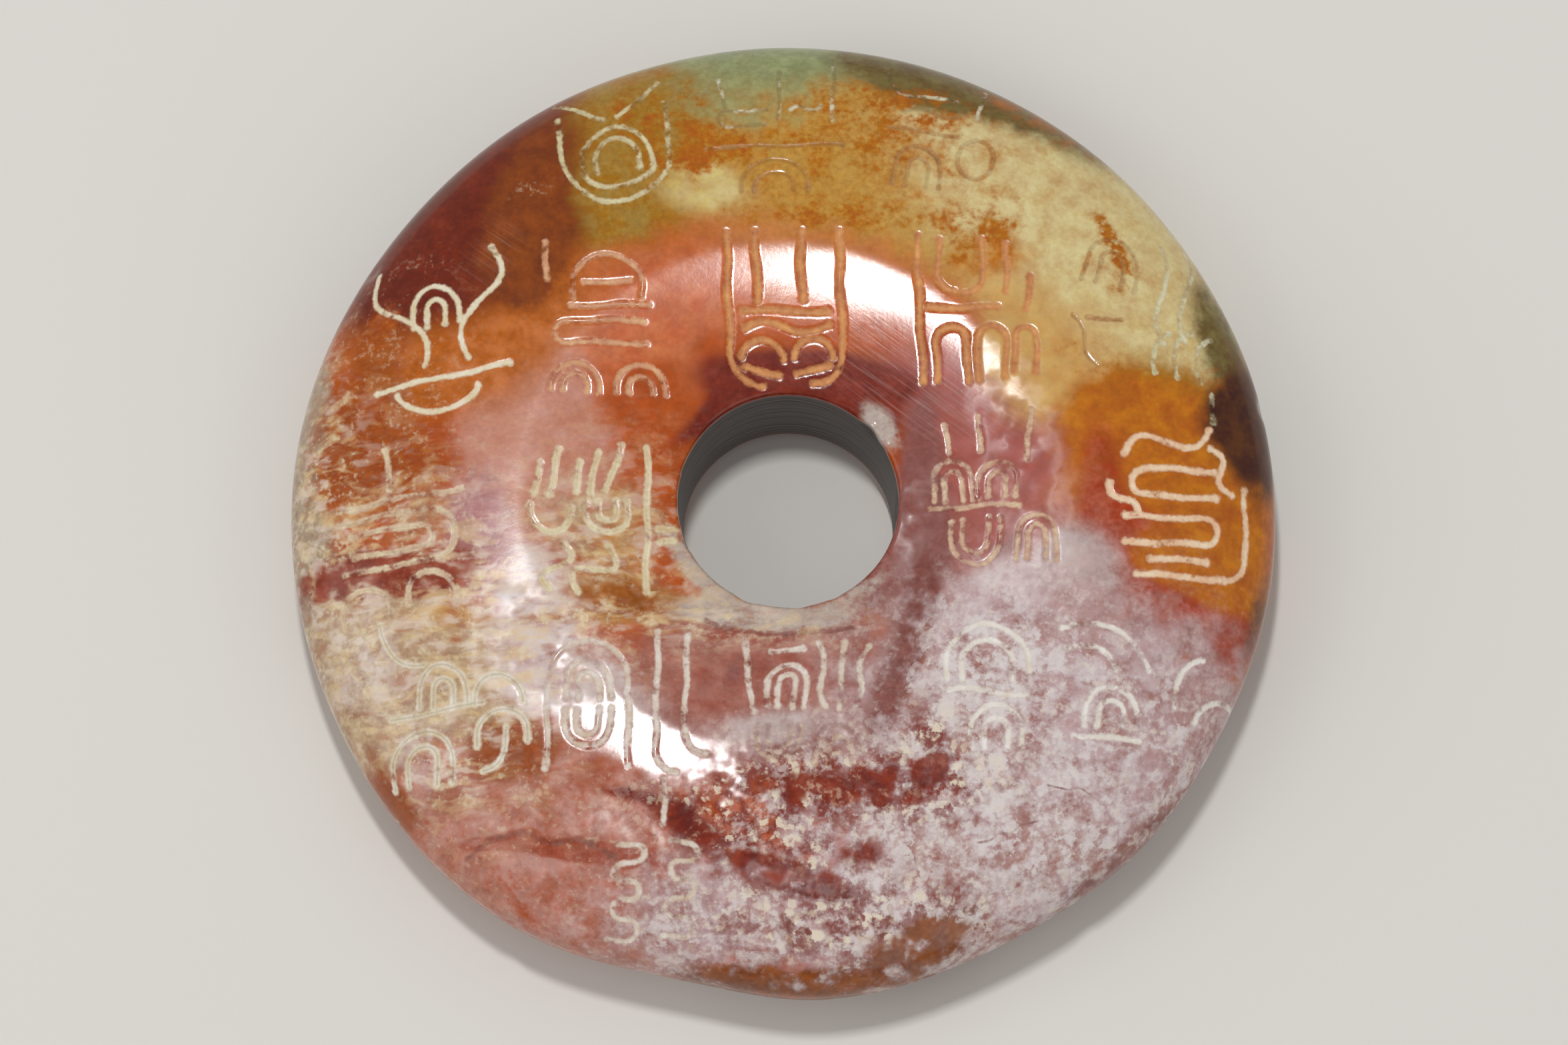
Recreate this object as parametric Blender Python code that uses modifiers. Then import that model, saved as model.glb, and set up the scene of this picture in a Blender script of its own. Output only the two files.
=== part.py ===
"""A carved jade ring pendant: one thick, doughnut-shaped disc with a drilled bore and an engraved face.

Units are metres and +Z is up. The disc lies on its plain back, with the bore over the origin's middle,
and the engraved face looks up. Its top, as a reader would hold it, points along +Y.
"""

import math

import bmesh
import bpy
from mathutils import Vector

MM = 0.001
WELD_DISTANCE = 0.001 * MM

# The disc
DISC_RADIUS = 28.0 * MM
HALF_THICKNESS = 4.75 * MM
CREST_RADIUS = 15.0 * MM
FACE_EXPONENT = 2.25

# The bore, drilled from the front and a little off the middle
BORE_RADIUS_FRONT = 6.25 * MM
BORE_RADIUS_BACK = 6.0 * MM
BORE_SHIFT = Vector((0.27 * MM, -0.10 * MM, 0.0))
BORE_RIM_ROUND = 0.35 * MM
FRONT_RIM_DROP = 1.25 * MM
BACK_RIM_DROP = 1.0 * MM
RIM_DROP_EXPONENT = 1.4

# The narrow flat ring, worn on the crest of the back, that the disc lies on
REST_RADIUS_INNER = 12.7 * MM
REST_RADIUS_OUTER = 15.7 * MM

# How finely the turned shape is cut
STEPS_ROUND = 64
STEPS_OUTER_FRONT = 9
STEPS_INNER_FRONT = 5
STEPS_OUTER_BACK = 5
STEPS_INNER_BACK = 2

# Edges that turn by more degrees than this show as edges
SHARP_ANGLE = 40

# Flats and bulges of the hand-ground outline: azimuth and half spread in degrees, outward shift in mm
OUTLINE_MARKS = (
    (32, 9, -0.08),
    (70, 20, 0.08),
    (108, 9, -0.08),
    (143, 17, -0.27),
    (234, 17, 0.38),
    (256, 10, -0.50),
    (276, 9, 0.20),
    (300, 9, -0.18),
    (334, 10, -0.16),
)

# Natural hollows in the stone, each along a line from start to end: half width and depth, all in mm
HOLLOWS = (
    ((8.2, -1.2), (5.4, -9.6), 1.5, 0.40),
    ((-10.6, -17.4), (-5.2, -19.8), 1.2, 0.13),
    ((-5.2, -19.8), (3.4, -22.2), 0.9, 0.16),
    ((2.6, -14.8), (8.6, -17.6), 1.4, 0.22),
)

# The strokes: troughs as deep as half their width, with a wider bead at both ends
GROOVE_HALF_WIDTH = 0.21 * MM
CUTTER_LIFT = 0.05 * MM
BEAD_SWELL = 1.3

# How finely a stroke is drawn: degrees along an arc, steps along a wave, and mm along a straight run
ARC_STEP = 60
WAVE_STEPS = 5
LONGEST_CHORD = 3.3
SHORTEST_LEG = 0.2


def line(x0, y0, x1, y1):
    return [(x0, y0), (x1, y1)]


def arc(x, y, rx, ry, start, end):
    """A stretch of an ellipse, from one angle to another in degrees."""
    steps = max(2, math.ceil(abs(end - start) / ARC_STEP))
    turns = [math.radians(start + (end - start) * i / steps) for i in range(steps + 1)]
    return [(x + rx * math.cos(t), y + ry * math.sin(t)) for t in turns]


def arch(x, y, width, height):
    """Two legs under a round top, the top's highest point at y."""
    rise = min(height, width / 2)
    over = arc(x, y - rise, width / 2, rise, 180, 0)
    if height - rise < SHORTEST_LEG:
        return over
    return [(x - width / 2, y - height)] + over + [(x + width / 2, y - height)]


def cup(x, y, width, height):
    """An arch turned over, its lowest point at y."""
    return [(px, 2 * y - py) for px, py in arch(x, y, width, height)]


def hairpin(x, y, width, height):
    """An arch on its side, its closed end at x; a negative width closes it on the left."""
    turned = arch(0, 0, height, abs(width))
    return [(x + math.copysign(1, width) * py, y + px) for px, py in turned]


def wave(x0, y0, x1, y1, swing):
    """One full S between two points, swinging to the side by swing."""
    dx, dy = x1 - x0, y1 - y0
    length = math.hypot(dx, dy)
    points = []
    for i in range(WAVE_STEPS + 1):
        t = i / WAVE_STEPS
        side = swing * math.sin(2 * math.pi * t) / length
        points.append((x0 + dx * t - dy * side, y0 + dy * t + dx * side))
    return points


def hook(x, y0, y1, reach):
    """A post down from y0 that ends at y1 in a quarter round, to the side that reach points to."""
    radius = abs(reach)
    start, end = (180, 270) if reach > 0 else (0, -90)
    return [(x, y0)] + arc(x + reach, y1 + radius, radius, radius, start, end)


def meander(x, y, width, height, runs):
    """One line snaking down from y in level runs, each bend a half round."""
    pitch = height / (runs - 1)
    points = [(x - width / 2, y)]
    for run in range(runs - 1):
        side = 1 if run % 2 == 0 else -1
        points += arc(x + side * (width - pitch) / 2, y - (run + 0.5) * pitch, pitch / 2, pitch / 2,
                      90, 90 - 180 * side)
    return points + [(x - side * width / 2, y - height)]


# The rows of strokes: place in mm from the disc's middle, turn in degrees, and the strokes about it
SIGNS = (
    ("top_left", (-9.6, 20.7), 8, (
        cup(0.0, -3.4, 6.2, 6.0),
        arch(0.0, 1.4, 3.9, 2.8),
        cup(0.0, -2.4, 3.9, 0.9),
        line(-3.0, 3.8, -0.5, 2.1),
        line(3.0, 4.0, 0.4, 2.1),
    )),
    ("top_middle", (-0.6, 21.5), 0, (
        line(-3.2, 3.6, -2.7, 1.7),
        hairpin(-3.1, 1.0, -2.7, 1.0),
        line(0.4, 4.2, 0.3, 0.9),
        line(3.5, 4.6, 3.4, 0.8),
    )),
    ("top_middle_lower", (-0.6, 21.5), 0, (
        line(-3.8, -0.9, 4.0, -0.7),
        arch(0.1, -1.6, 3.8, 2.0),
    )),
    ("top_right", (8.6, 21.1), -8, (
        hook(-3.0, 4.4, 2.9, 1.0),
    )),
    ("top_right_lower", (8.6, 21.1), -8, (
        wave(-2.0, 1.7, 1.2, 1.9, 0.2),
        line(-2.6, 0.5, 1.3, 0.5),
        arch(-0.7, -0.5, 2.6, 2.5),
        arch(2.5, 0.4, 1.9, 1.0),
        cup(2.5, -2.0, 1.9, 1.2),
    )),
    ("second_far_left", (-19.5, 9.8), 6, (
        wave(-3.4, 4.2, -1.1, -2.1, -0.8),
        wave(3.4, 4.7, 1.5, -1.9, 0.8),
        arch(-0.2, 2.7, 2.6, 2.4),
        line(-3.9, -3.3, 3.8, -2.6),
        cup(-0.5, -4.9, 4.6, 1.2),
    )),
    ("second_left", (-9.8, 10.1), 0, (
        line(-3.8, 4.8, -3.6, 2.6),
        arch(-0.2, 4.0, 3.9, 2.6),
        line(-1.5, 2.3, 1.1, 2.4),
        line(-2.3, 0.9, 2.2, 1.0),
        hairpin(-3.1, -0.6, -5.0, 1.3),
        arch(-2.0, -2.5, 2.6, 1.6),
        arch(1.6, -2.5, 2.8, 1.6),
    )),
    ("second_middle", (0.0, 10.6), 0, (
        hook(-3.2, 4.8, -3.9, 1.8),
        line(-1.6, 4.8, -1.5, 0.8),
        line(1.0, 4.9, 1.0, 0.9),
        hook(3.2, 4.8, -3.8, -1.8),
        line(-2.3, 0.3, 2.3, 0.2),
        wave(-2.4, -0.7, 2.4, -0.6, 0.28),
        arch(-1.4, -1.4, 2.3, 1.0),
        arch(1.5, -1.3, 2.3, 1.0),
        line(-2.4, -2.9, -0.5, -3.3),
        line(0.5, -3.3, 2.4, -2.8),
    )),
    ("second_right", (10.7, 10.6), 0, (
        line(-3.1, 4.6, -2.9, -3.9),
        hook(-1.9, 4.4, 1.3, 0.9),
        hook(0.6, 4.4, 1.2, -0.9),
        line(2.0, 4.2, 1.9, 1.2),
        line(-2.6, 0.3, 1.5, 0.3),
        arch(-1.2, -0.8, 1.8, 3.1),
        arch(1.1, -0.8, 1.6, 3.0),
        arch(3.0, -0.8, 1.2, 2.7),
        line(3.3, 2.2, 3.1, 0.3),
    )),
    ("second_far_right", (20.8, 10.9), -12, (
        wave(-0.1, 4.4, 1.2, -1.6, 0.4),
        wave(1.3, 4.6, 2.4, -1.2, 0.4),
        arc(1.6, -2.4, 0.9, 1.5, 100, 230),
        arc(2.8, -2.2, 0.9, 1.6, 100, 235),
        arc(4.0, -2.0, 0.8, 1.5, 110, 240),
        line(4.4, -4.0, 4.9, -5.6),
    )),
    ("second_far_right_inner", (20.8, 10.9), -12, (
        arch(-2.6, 3.9, 3.0, 2.9),
        wave(-4.2, -1.3, -2.2, -4.0, 0.2),
        line(-3.4, -1.2, -1.4, -0.9),
    )),
    ("third_far_left", (-21.6, -2.3), 8, (
        line(-0.2, 5.0, -0.2, 2.7),
        line(-3.9, 2.0, 3.8, 2.0),
        hairpin(3.2, -0.3, 6.6, 3.0),
        hairpin(1.9, -0.3, 4.6, 1.3),
        arch(-2.4, -2.8, 2.7, 1.9),
        arch(1.4, -2.5, 2.9, 1.6),
        line(-3.3, -5.2, -1.3, -5.1),
    )),
    ("third_left", (-10.5, -1.4), 0, (
        line(-3.2, 3.2, -3.6, 1.4),
        line(-2.2, 4.0, -2.7, 1.2),
        line(-1.0, 3.2, -1.3, 1.5),
        line(-0.1, 3.8, -0.5, 1.5),
        line(1.2, 4.4, 0.4, 1.8),
        line(2.6, 4.3, 2.6, -4.3),
        cup(-2.6, -0.9, 2.2, 1.5),
        cup(0.4, -0.8, 2.3, 1.9),
        wave(-1.9, -1.6, -2.6, -4.3, 0.6),
        wave(0.6, -1.6, -1.0, -4.4, 0.9),
    )),
    ("third_right", (11.5, -0.1), 0, (
        line(-2.6, 4.3, -2.3, 2.6),
        line(-0.5, 4.6, -0.5, 2.7),
        line(2.5, 5.0, 2.2, 2.0),
        arch(-2.1, 2.1, 2.3, 2.2),
        arch(0.5, 2.0, 2.2, 2.1),
        line(-3.4, -0.5, 1.8, -0.6),
        cup(-0.8, -4.0, 2.8, 2.7),
        arch(2.7, -1.2, 2.2, 2.6),
    )),
    ("third_far_right", (22.6, -0.4), 0, (
        wave(-3.4, 2.7, 1.5, 4.3, 0.75),
        wave(1.5, 3.3, 2.8, 0.6, 0.4),
        hairpin(-3.0, 1.1, -4.8, 1.6),
        wave(-4.2, 1.0, -2.6, -0.9, -0.3),
        hairpin(1.9, -1.7, 5.3, 1.5),
        hook(3.5, 1.0, -4.4, -1.3),
        line(-2.7, -4.3, 1.9, -4.4),
        line(-1.9, -3.4, 1.2, -3.4),
    )),
    ("fourth_far_left", (-18.8, -11.8), 4, (
        arc(-1.4, 4.5, 2.1, 2.6, 180, 275),
        arch(-0.2, 1.9, 2.6, 2.3),
        line(-3.2, -0.9, 1.9, -0.5),
        arch(-1.5, -1.7, 3.3, 2.9),
        arch(2.9, 1.0, 2.8, 1.6),
        arch(3.0, -0.9, 2.7, 1.9),
        hook(3.2, -2.0, -4.3, -1.4),
    )),
    ("fourth_left", (-10.0, -12.4), 0, (
        arch(-0.9, 3.7, 4.5, 7.2),
        arch(-0.9, 2.6, 2.5, 2.2),
        cup(-0.9, -2.4, 2.5, 2.2),
        hook(2.9, 4.4, -3.8, 1.2),
        hook(4.5, 4.3, -2.8, 1.2),
    )),
    ("fourth_middle", (0.9, -12.0), 0, (
        line(-3.3, 3.6, -2.6, -0.8),
        line(-1.8, 3.0, 0.1, 3.1),
        arch(-0.8, 2.1, 2.1, 2.5),
        wave(0.9, 3.4, 1.4, -0.4, 0.25),
        line(2.3, 3.5, 2.2, -0.6),
        wave(3.7, 3.3, 3.0, -0.4, -0.25),
    )),
    ("fourth_right", (11.4, -11.5), 0, (
        arch(0.0, 3.8, 4.6, 3.2),
        wave(-2.2, 0.0, 2.2, -0.2, 0.2),
        arch(0.5, -0.9, 2.8, 2.4),
    )),
    ("fourth_far_right", (18.1, -11.4), 0, (
        arc(-1.0, -0.2, 3.6, 4.0, 20, 115),
        arc(-1.4, -0.2, 2.4, 2.7, 30, 110),
        arch(0.2, 0.2, 2.9, 2.2),
        line(-1.9, -2.6, 1.8, -2.8),
    )),
    ("fourth_edge", (23.4, -11.0), 0, (
        arc(0.6, -0.6, 2.0, 2.2, 100, 195),
        arc(1.4, -2.2, 1.6, 1.5, 60, 170),
    )),
    ("fifth_left", (-7.2, -23.6), -6, (
        line(-0.2, 7.0, 0.1, 4.4),
        meander(-1.6, 3.2, 1.5, 5.2, 6),
        meander(1.4, 3.6, 1.5, 5.4, 6),
    )),
)


def dome(share):
    """A face's height as a share of its crest's: 1 at the crest (share 0) and 0 at the edge (share 1)."""
    return (1 - share ** FACE_EXPONENT) ** (1 / FACE_EXPONENT)


def dome_share(step, steps):
    """Where a step of the dome's outline lies, with the steps closest together at the edge."""
    return math.sin(math.pi / 2 * step / steps) ** (2 / FACE_EXPONENT)


def front_height(radius):
    """Height of the front over the middle plane."""
    if radius > CREST_RADIUS:
        share = min(1.0, (radius - CREST_RADIUS) / (DISC_RADIUS - CREST_RADIUS))
        return HALF_THICKNESS * dome(share)
    share = (CREST_RADIUS - radius) / (CREST_RADIUS - BORE_RADIUS_FRONT)
    return HALF_THICKNESS - FRONT_RIM_DROP * share ** RIM_DROP_EXPONENT


def section():
    """Half of the ring's section as (radius, height): out over the front, round the edge and in again."""
    rim_radius = BORE_RADIUS_FRONT + BORE_RIM_ROUND
    points = [(BORE_RADIUS_FRONT, front_height(BORE_RADIUS_FRONT) - BORE_RIM_ROUND)]
    for i in range(STEPS_INNER_FRONT):
        radius = rim_radius + (CREST_RADIUS - rim_radius) * i / STEPS_INNER_FRONT
        points.append((radius, front_height(radius)))
    for i in range(STEPS_OUTER_FRONT + 1):
        share = dome_share(i, STEPS_OUTER_FRONT)
        radius = CREST_RADIUS + (DISC_RADIUS - CREST_RADIUS) * share
        points.append((radius, HALF_THICKNESS * dome(share)))
    for i in range(STEPS_OUTER_BACK - 1, -1, -1):
        share = dome_share(i, STEPS_OUTER_BACK)
        radius = REST_RADIUS_OUTER + (DISC_RADIUS - REST_RADIUS_OUTER) * share
        points.append((radius, -HALF_THICKNESS * dome(share)))
    for i in range(STEPS_INNER_BACK + 1):
        share = i / STEPS_INNER_BACK
        radius = REST_RADIUS_INNER + (BORE_RADIUS_BACK - REST_RADIUS_INNER) * share
        points.append((radius, BACK_RIM_DROP * share ** RIM_DROP_EXPONENT - HALF_THICKNESS))
    return points


def bump(distance, spread):
    """A smooth hump, 1 in the middle and 0 from spread on."""
    return math.cos(math.pi / 2 * min(1.0, distance / spread)) ** 2


def distance_to_line(x, y, start, end):
    dx, dy = end[0] - start[0], end[1] - start[1]
    along = ((x - start[0]) * dx + (y - start[1]) * dy) / (dx * dx + dy * dy)
    along = min(1.0, max(0.0, along))
    return math.hypot(x - start[0] - along * dx, y - start[1] - along * dy)


def as_ground(point):
    """Moves a point of the true turned ring to where the hand-ground disc, lying on its back, has it."""
    radius = math.hypot(point.x, point.y)
    azimuth = math.degrees(math.atan2(point.y, point.x))
    moved = point.copy()
    if radius > CREST_RADIUS:
        share = (radius - CREST_RADIUS) / (DISC_RADIUS - CREST_RADIUS)
        shift = 0.0
        for middle, spread, height in OUTLINE_MARKS:
            apart = abs((azimuth - middle + 180) % 360 - 180)
            shift += height * MM * bump(apart, 2 * spread)
        moved.xy *= 1 + shift * share * share / radius
    else:
        share = (CREST_RADIUS - radius) / (CREST_RADIUS - BORE_RADIUS_BACK)
        moved += BORE_SHIFT * bump(1 - share, 1.0)
    if point.z > 0:
        for start, end, half_width, depth in HOLLOWS:
            apart = distance_to_line(point.x / MM, point.y / MM, start, end)
            moved.z -= depth * MM * bump(apart, 2 * half_width)
    moved.z += HALF_THICKNESS
    return moved


def add_object(name, data, collection):
    made = bpy.data.objects.new(name, data)
    collection.objects.link(made)
    return made


def as_mesh(source, name):
    """The mesh that an object shows once its modifiers or its bevel are worked out."""
    bpy.context.view_layer.update()
    evaluated = source.evaluated_get(bpy.context.evaluated_depsgraph_get())
    mesh = bpy.data.meshes.new_from_object(evaluated)
    mesh.name = name
    return mesh


def turned_disc(name, collection):
    """Turns the section into a closed ring, then gives it the true outline, bore place and hollows."""
    points = section()
    profile = bpy.data.meshes.new(name + "_profile")
    edges = [(i, (i + 1) % len(points)) for i in range(len(points))]
    profile.from_pydata([(radius, 0.0, height) for radius, height in points], edges, [])
    lathe = add_object(name + "_lathe", profile, collection)
    screw = lathe.modifiers.new("turn", "SCREW")
    screw.axis = "Z"
    screw.steps = screw.render_steps = STEPS_ROUND
    screw.use_merge_vertices = True
    screw.merge_threshold = WELD_DISTANCE
    mesh = as_mesh(lathe, name)
    bpy.data.objects.remove(lathe)
    for vertex in mesh.vertices:
        vertex.co = as_ground(vertex.co)
    mesh.shade_smooth()
    mesh.set_sharp_from_angle(angle=math.radians(SHARP_ANGLE))
    return add_object(name, mesh, collection)


def chords(points):
    """Splits a stroke's long straight runs, so that its groove follows the dome."""
    out = [points[0]]
    for (x0, y0), (x1, y1) in zip(points, points[1:]):
        pieces = max(1, math.ceil(math.hypot(x1 - x0, y1 - y0) / LONGEST_CHORD))
        for i in range(1, pieces + 1):
            out.append((x0 + (x1 - x0) * i / pieces, y0 + (y1 - y0) * i / pieces))
    return out


def stroke_cutter(name, points, place, turn, collection):
    """A thin four-sided tube with one edge down, lying along a stroke on the front of the disc."""
    curve = bpy.data.curves.new(name, "CURVE")
    curve.dimensions = "3D"
    curve.twist_mode = "Z_UP"
    curve.fill_mode = "FULL"
    curve.use_fill_caps = True
    curve.bevel_depth = GROOVE_HALF_WIDTH + CUTTER_LIFT
    curve.bevel_resolution = 0
    route = chords(points)
    spline = curve.splines.new("POLY")
    spline.points.add(len(route) - 1)
    cosine, sine = math.cos(math.radians(turn)), math.sin(math.radians(turn))
    for control, (x, y) in zip(spline.points, route):
        disc_x = (place[0] + x * cosine - y * sine) * MM
        disc_y = (place[1] + x * sine + y * cosine) * MM
        height = front_height(math.hypot(disc_x, disc_y)) + CUTTER_LIFT
        control.co = (*as_ground(Vector((disc_x, disc_y, height))), 1.0)
    spline.points[0].radius = spline.points[-1].radius = BEAD_SWELL

    tube = add_object(name + "_tube", curve, collection)
    mesh = as_mesh(tube, name)
    welded = bmesh.new()
    welded.from_mesh(mesh)
    bmesh.ops.remove_doubles(welded, verts=welded.verts, dist=WELD_DISTANCE)
    welded.to_mesh(mesh)
    welded.free()
    cutter = add_object(name, mesh, collection)
    cutter.matrix_world = tube.matrix_world
    cutter.hide_render = True
    cutter.display_type = "WIRE"
    bpy.data.objects.remove(tube)


def jade_material():
    """Polished jade, stained orange and mauve by long burial."""
    material = bpy.data.materials.new("jade")
    material.use_nodes = True
    shader = material.node_tree.nodes["Principled BSDF"]
    shader.inputs["Base Color"].default_value = (0.46, 0.20, 0.13, 1.0)
    shader.inputs["Roughness"].default_value = 0.28
    shader.inputs["Metallic"].default_value = 0.0
    return material


def main():
    for thing in list(bpy.data.objects):
        bpy.data.objects.remove(thing)
    pendant = bpy.data.collections.new("jade_pendant")
    cutters = bpy.data.collections.new("stroke_cutters")
    bpy.context.scene.collection.children.link(pendant)
    bpy.context.scene.collection.children.link(cutters)

    disc = turned_disc("jade_disc", pendant)
    disc.data.materials.append(jade_material())
    for name, place, turn, strokes in SIGNS:
        for number, points in enumerate(strokes):
            stroke_cutter(f"{name}_{number}", points, place, turn, cutters)
    engraving = disc.modifiers.new("engraving", "BOOLEAN")
    engraving.operation = "DIFFERENCE"
    engraving.operand_type = "COLLECTION"
    engraving.collection = cutters
    engraving.solver = "EXACT"


main()
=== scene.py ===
"""The looks of a carved jade ring pendant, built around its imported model.

Lengths are in mm until the mesh is made.
"""

import math

import bpy
import numpy as np
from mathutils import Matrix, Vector, noise
from mathutils.geometry import delaunay_2d_cdt


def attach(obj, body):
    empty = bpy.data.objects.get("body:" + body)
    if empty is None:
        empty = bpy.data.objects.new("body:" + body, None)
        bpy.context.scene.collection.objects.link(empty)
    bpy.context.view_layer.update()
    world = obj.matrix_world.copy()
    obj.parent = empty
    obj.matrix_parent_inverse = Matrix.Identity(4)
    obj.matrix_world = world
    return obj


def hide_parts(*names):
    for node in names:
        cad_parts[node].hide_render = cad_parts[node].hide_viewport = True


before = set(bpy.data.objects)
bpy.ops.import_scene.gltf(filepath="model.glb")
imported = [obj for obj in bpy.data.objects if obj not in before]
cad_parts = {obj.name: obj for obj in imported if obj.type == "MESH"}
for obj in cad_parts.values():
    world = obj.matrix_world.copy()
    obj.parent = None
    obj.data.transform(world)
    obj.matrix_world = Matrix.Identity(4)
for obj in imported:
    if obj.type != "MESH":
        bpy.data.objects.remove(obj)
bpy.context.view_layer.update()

# The pendant: one thick ring of jade, ground round by hand and polished, with a plain back that it lies on.
# It has no other part, so all that follows shapes, wears and colours this one stone.
MM = 0.001
DISC_RADIUS = 28.0
HALF_THICKNESS = 4.75
CREST_RADIUS = 15.0
FACE_EXPONENT = 2.25
REST_RADIUS_INNER = 12.7
REST_RADIUS_OUTER = 15.7
BORE_RADIUS_FRONT = 6.25
BORE_RADIUS_BACK = 6.0
BORE_SHIFT = np.array((0.27, -0.10, 0.0))
BORE_RIM_ROUND = 0.35
BORE_BACK_RIM_ROUND = 0.25
FRONT_RIM_DROP = 1.25
BACK_RIM_DROP = 1.0
RIM_DROP_EXPONENT = 1.4

# How many points a face's section has round the bore's rim, from there to the crest, and on to the edge
RIM_STEPS = 12
INNER_STEPS = 90
OUTER_STEPS = 260

# Flats and bulges of the outline: azimuth and half spread in degrees, outward shift
OUTLINE_MARKS = (
    (32, 9, -0.08),
    (70, 20, 0.08),
    (108, 9, -0.08),
    (143, 17, -0.27),
    (234, 17, 0.38),
    (256, 10, -0.50),
    (276, 9, 0.20),
    (300, 9, -0.18),
    (334, 10, -0.16),
)

# Natural hollows in the front, each along a line from start to end: half width and depth
HOLLOWS = (
    ((8.2, -1.2), (5.4, -9.6), 1.5, 0.40),
    ((-10.6, -17.4), (-5.2, -19.8), 1.2, 0.13),
    ((-5.2, -19.8), (3.4, -22.2), 0.9, 0.16),
    ((2.6, -14.8), (8.6, -17.6), 1.4, 0.22),
)


def dome(share):
    """A face's height as a share of its crest's: 1 at the crest (share 0) and 0 at the edge (share 1)."""
    return (1 - np.clip(share, 0, 1) ** FACE_EXPONENT) ** (1 / FACE_EXPONENT)


def bump(distance, spread):
    """A smooth hump, 1 in the middle and 0 from spread on."""
    return np.cos(math.pi / 2 * np.clip(distance / spread, 0, 1)) ** 2


def step_up(low, high, value):
    """A smooth step, 0 below low and 1 above high."""
    share = np.clip((value - low) / (high - low), 0, 1)
    return share * share * (3 - 2 * share)


def front_height(radius):
    """How far the front lies above the middle plane."""
    share = (CREST_RADIUS - np.minimum(radius, CREST_RADIUS)) / (CREST_RADIUS - BORE_RADIUS_FRONT)
    outer = HALF_THICKNESS * dome((radius - CREST_RADIUS) / (DISC_RADIUS - CREST_RADIUS))
    return outer - FRONT_RIM_DROP * share ** RIM_DROP_EXPONENT


def back_height(radius):
    """How far the back lies below the middle plane."""
    inner = np.minimum(radius, REST_RADIUS_INNER)
    share = (REST_RADIUS_INNER - inner) / (REST_RADIUS_INNER - BORE_RADIUS_BACK)
    outer = HALF_THICKNESS * dome((radius - REST_RADIUS_OUTER) / (DISC_RADIUS - REST_RADIUS_OUTER))
    return outer - BACK_RIM_DROP * share ** RIM_DROP_EXPONENT


class Face:
    """One face's section from the bore's rounded rim to the edge, and the face laid out flat around it."""

    def __init__(self, height_of, bore_radius, rim_round, side):
        slope = math.atan(float(height_of(bore_radius + rim_round) - height_of(bore_radius)) / rim_round)
        turn = np.linspace(math.pi, math.pi / 2 + slope, RIM_STEPS)
        rim = bore_radius + rim_round * (1 + np.cos(turn))
        rim_height = height_of(rim[-1]) + rim_round * (np.sin(turn) - math.sin(turn[-1]))
        inner = np.linspace(rim[-1], CREST_RADIUS, INNER_STEPS)[1:]
        reach = np.sin(np.linspace(0, math.pi / 2, OUTER_STEPS)[1:]) ** (2 / FACE_EXPONENT)
        outer = CREST_RADIUS + (DISC_RADIUS - CREST_RADIUS) * reach
        radius = np.concatenate((rim, inner, outer))
        height = np.concatenate((rim_height, height_of(inner), height_of(outer)))
        length = np.hypot(np.diff(radius), np.diff(height))
        self.flat = bore_radius + np.concatenate(([0.0], np.cumsum(length)))
        self.radius, self.height = radius, side * height
        along_r, along_z = np.gradient(radius, self.flat), np.gradient(height, self.flat)
        size = np.hypot(along_r, along_z)
        self.out_r, self.out_z = -along_z / size, side * along_r / size

    def laid_flat(self, x, y):
        """Where a point seen from above lands when the face is laid out flat."""
        away = np.hypot(x, y)
        scale = np.interp(away, self.radius, self.flat) / away
        return np.stack((x * scale, y * scale), 1)

    def place(self, flat_points):
        """Positions on the true turned ring, and the directions out of the stone there."""
        flat = np.hypot(flat_points[:, 0], flat_points[:, 1])
        east, north = flat_points[:, 0] / flat, flat_points[:, 1] / flat
        sections = (self.radius, self.height, self.out_r, self.out_z)
        radius, height, out_r, out_z = (np.interp(flat, self.flat, section) for section in sections)
        return (
            np.stack((radius * east, radius * north, height), 1),
            np.stack((out_r * east, out_r * north, out_z), 1),
        )


FRONT = Face(front_height, BORE_RADIUS_FRONT, BORE_RIM_ROUND, 1)
BACK = Face(back_height, BORE_RADIUS_BACK, BORE_BACK_RIM_ROUND, -1)


def distance_to_route(points, route):
    """Each point's distance to the nearest chord of a route."""
    chords = np.diff(route, axis=0)
    apart = points[:, None] - route[:-1]
    share = np.clip((apart * chords).sum(-1) / np.maximum((chords ** 2).sum(-1), 1e-9), 0, 1)
    return np.sqrt(((apart - share[..., None] * chords) ** 2).sum(-1).min(1))


def as_ground(points):
    """Moves points of the true turned ring to where the hand-ground one, lying on its back, has them."""
    radius = np.hypot(points[:, 0], points[:, 1])
    azimuth = np.degrees(np.arctan2(points[:, 1], points[:, 0]))
    shift = np.zeros(len(points))
    for middle, spread, height in OUTLINE_MARKS:
        shift += height * bump(np.abs((azimuth - middle + 180) % 360 - 180), 2 * spread)
    reach = np.maximum(0, (radius - CREST_RADIUS) / (DISC_RADIUS - CREST_RADIUS))
    inward = np.clip((CREST_RADIUS - radius) / (CREST_RADIUS - BORE_RADIUS_BACK), 0, 1)
    moved = points.copy()
    moved[:, :2] *= (1 + shift * reach * reach / radius)[:, None]
    moved += BORE_SHIFT * bump(1 - inward, 1)[:, None]
    for start, end, half_width, depth in HOLLOWS:
        apart = distance_to_route(points[:, :2], np.array((start, end)))
        moved[:, 2] -= depth * bump(apart, 2 * half_width) * (points[:, 2] > 0)
    moved[:, 2] += HALF_THICKNESS
    return moved


# The engraving: rows of shallow strokes cut with a hand-held burr, a wider bead where each starts and ends.
# Burial has packed most of them with pale mineral, left others open, and polish has worn some faint.
BEAD_SWELL = 1.2
ARC_STEP = 12
WAVE_STEPS = 28
STROKE_STEP = 0.165

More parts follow.
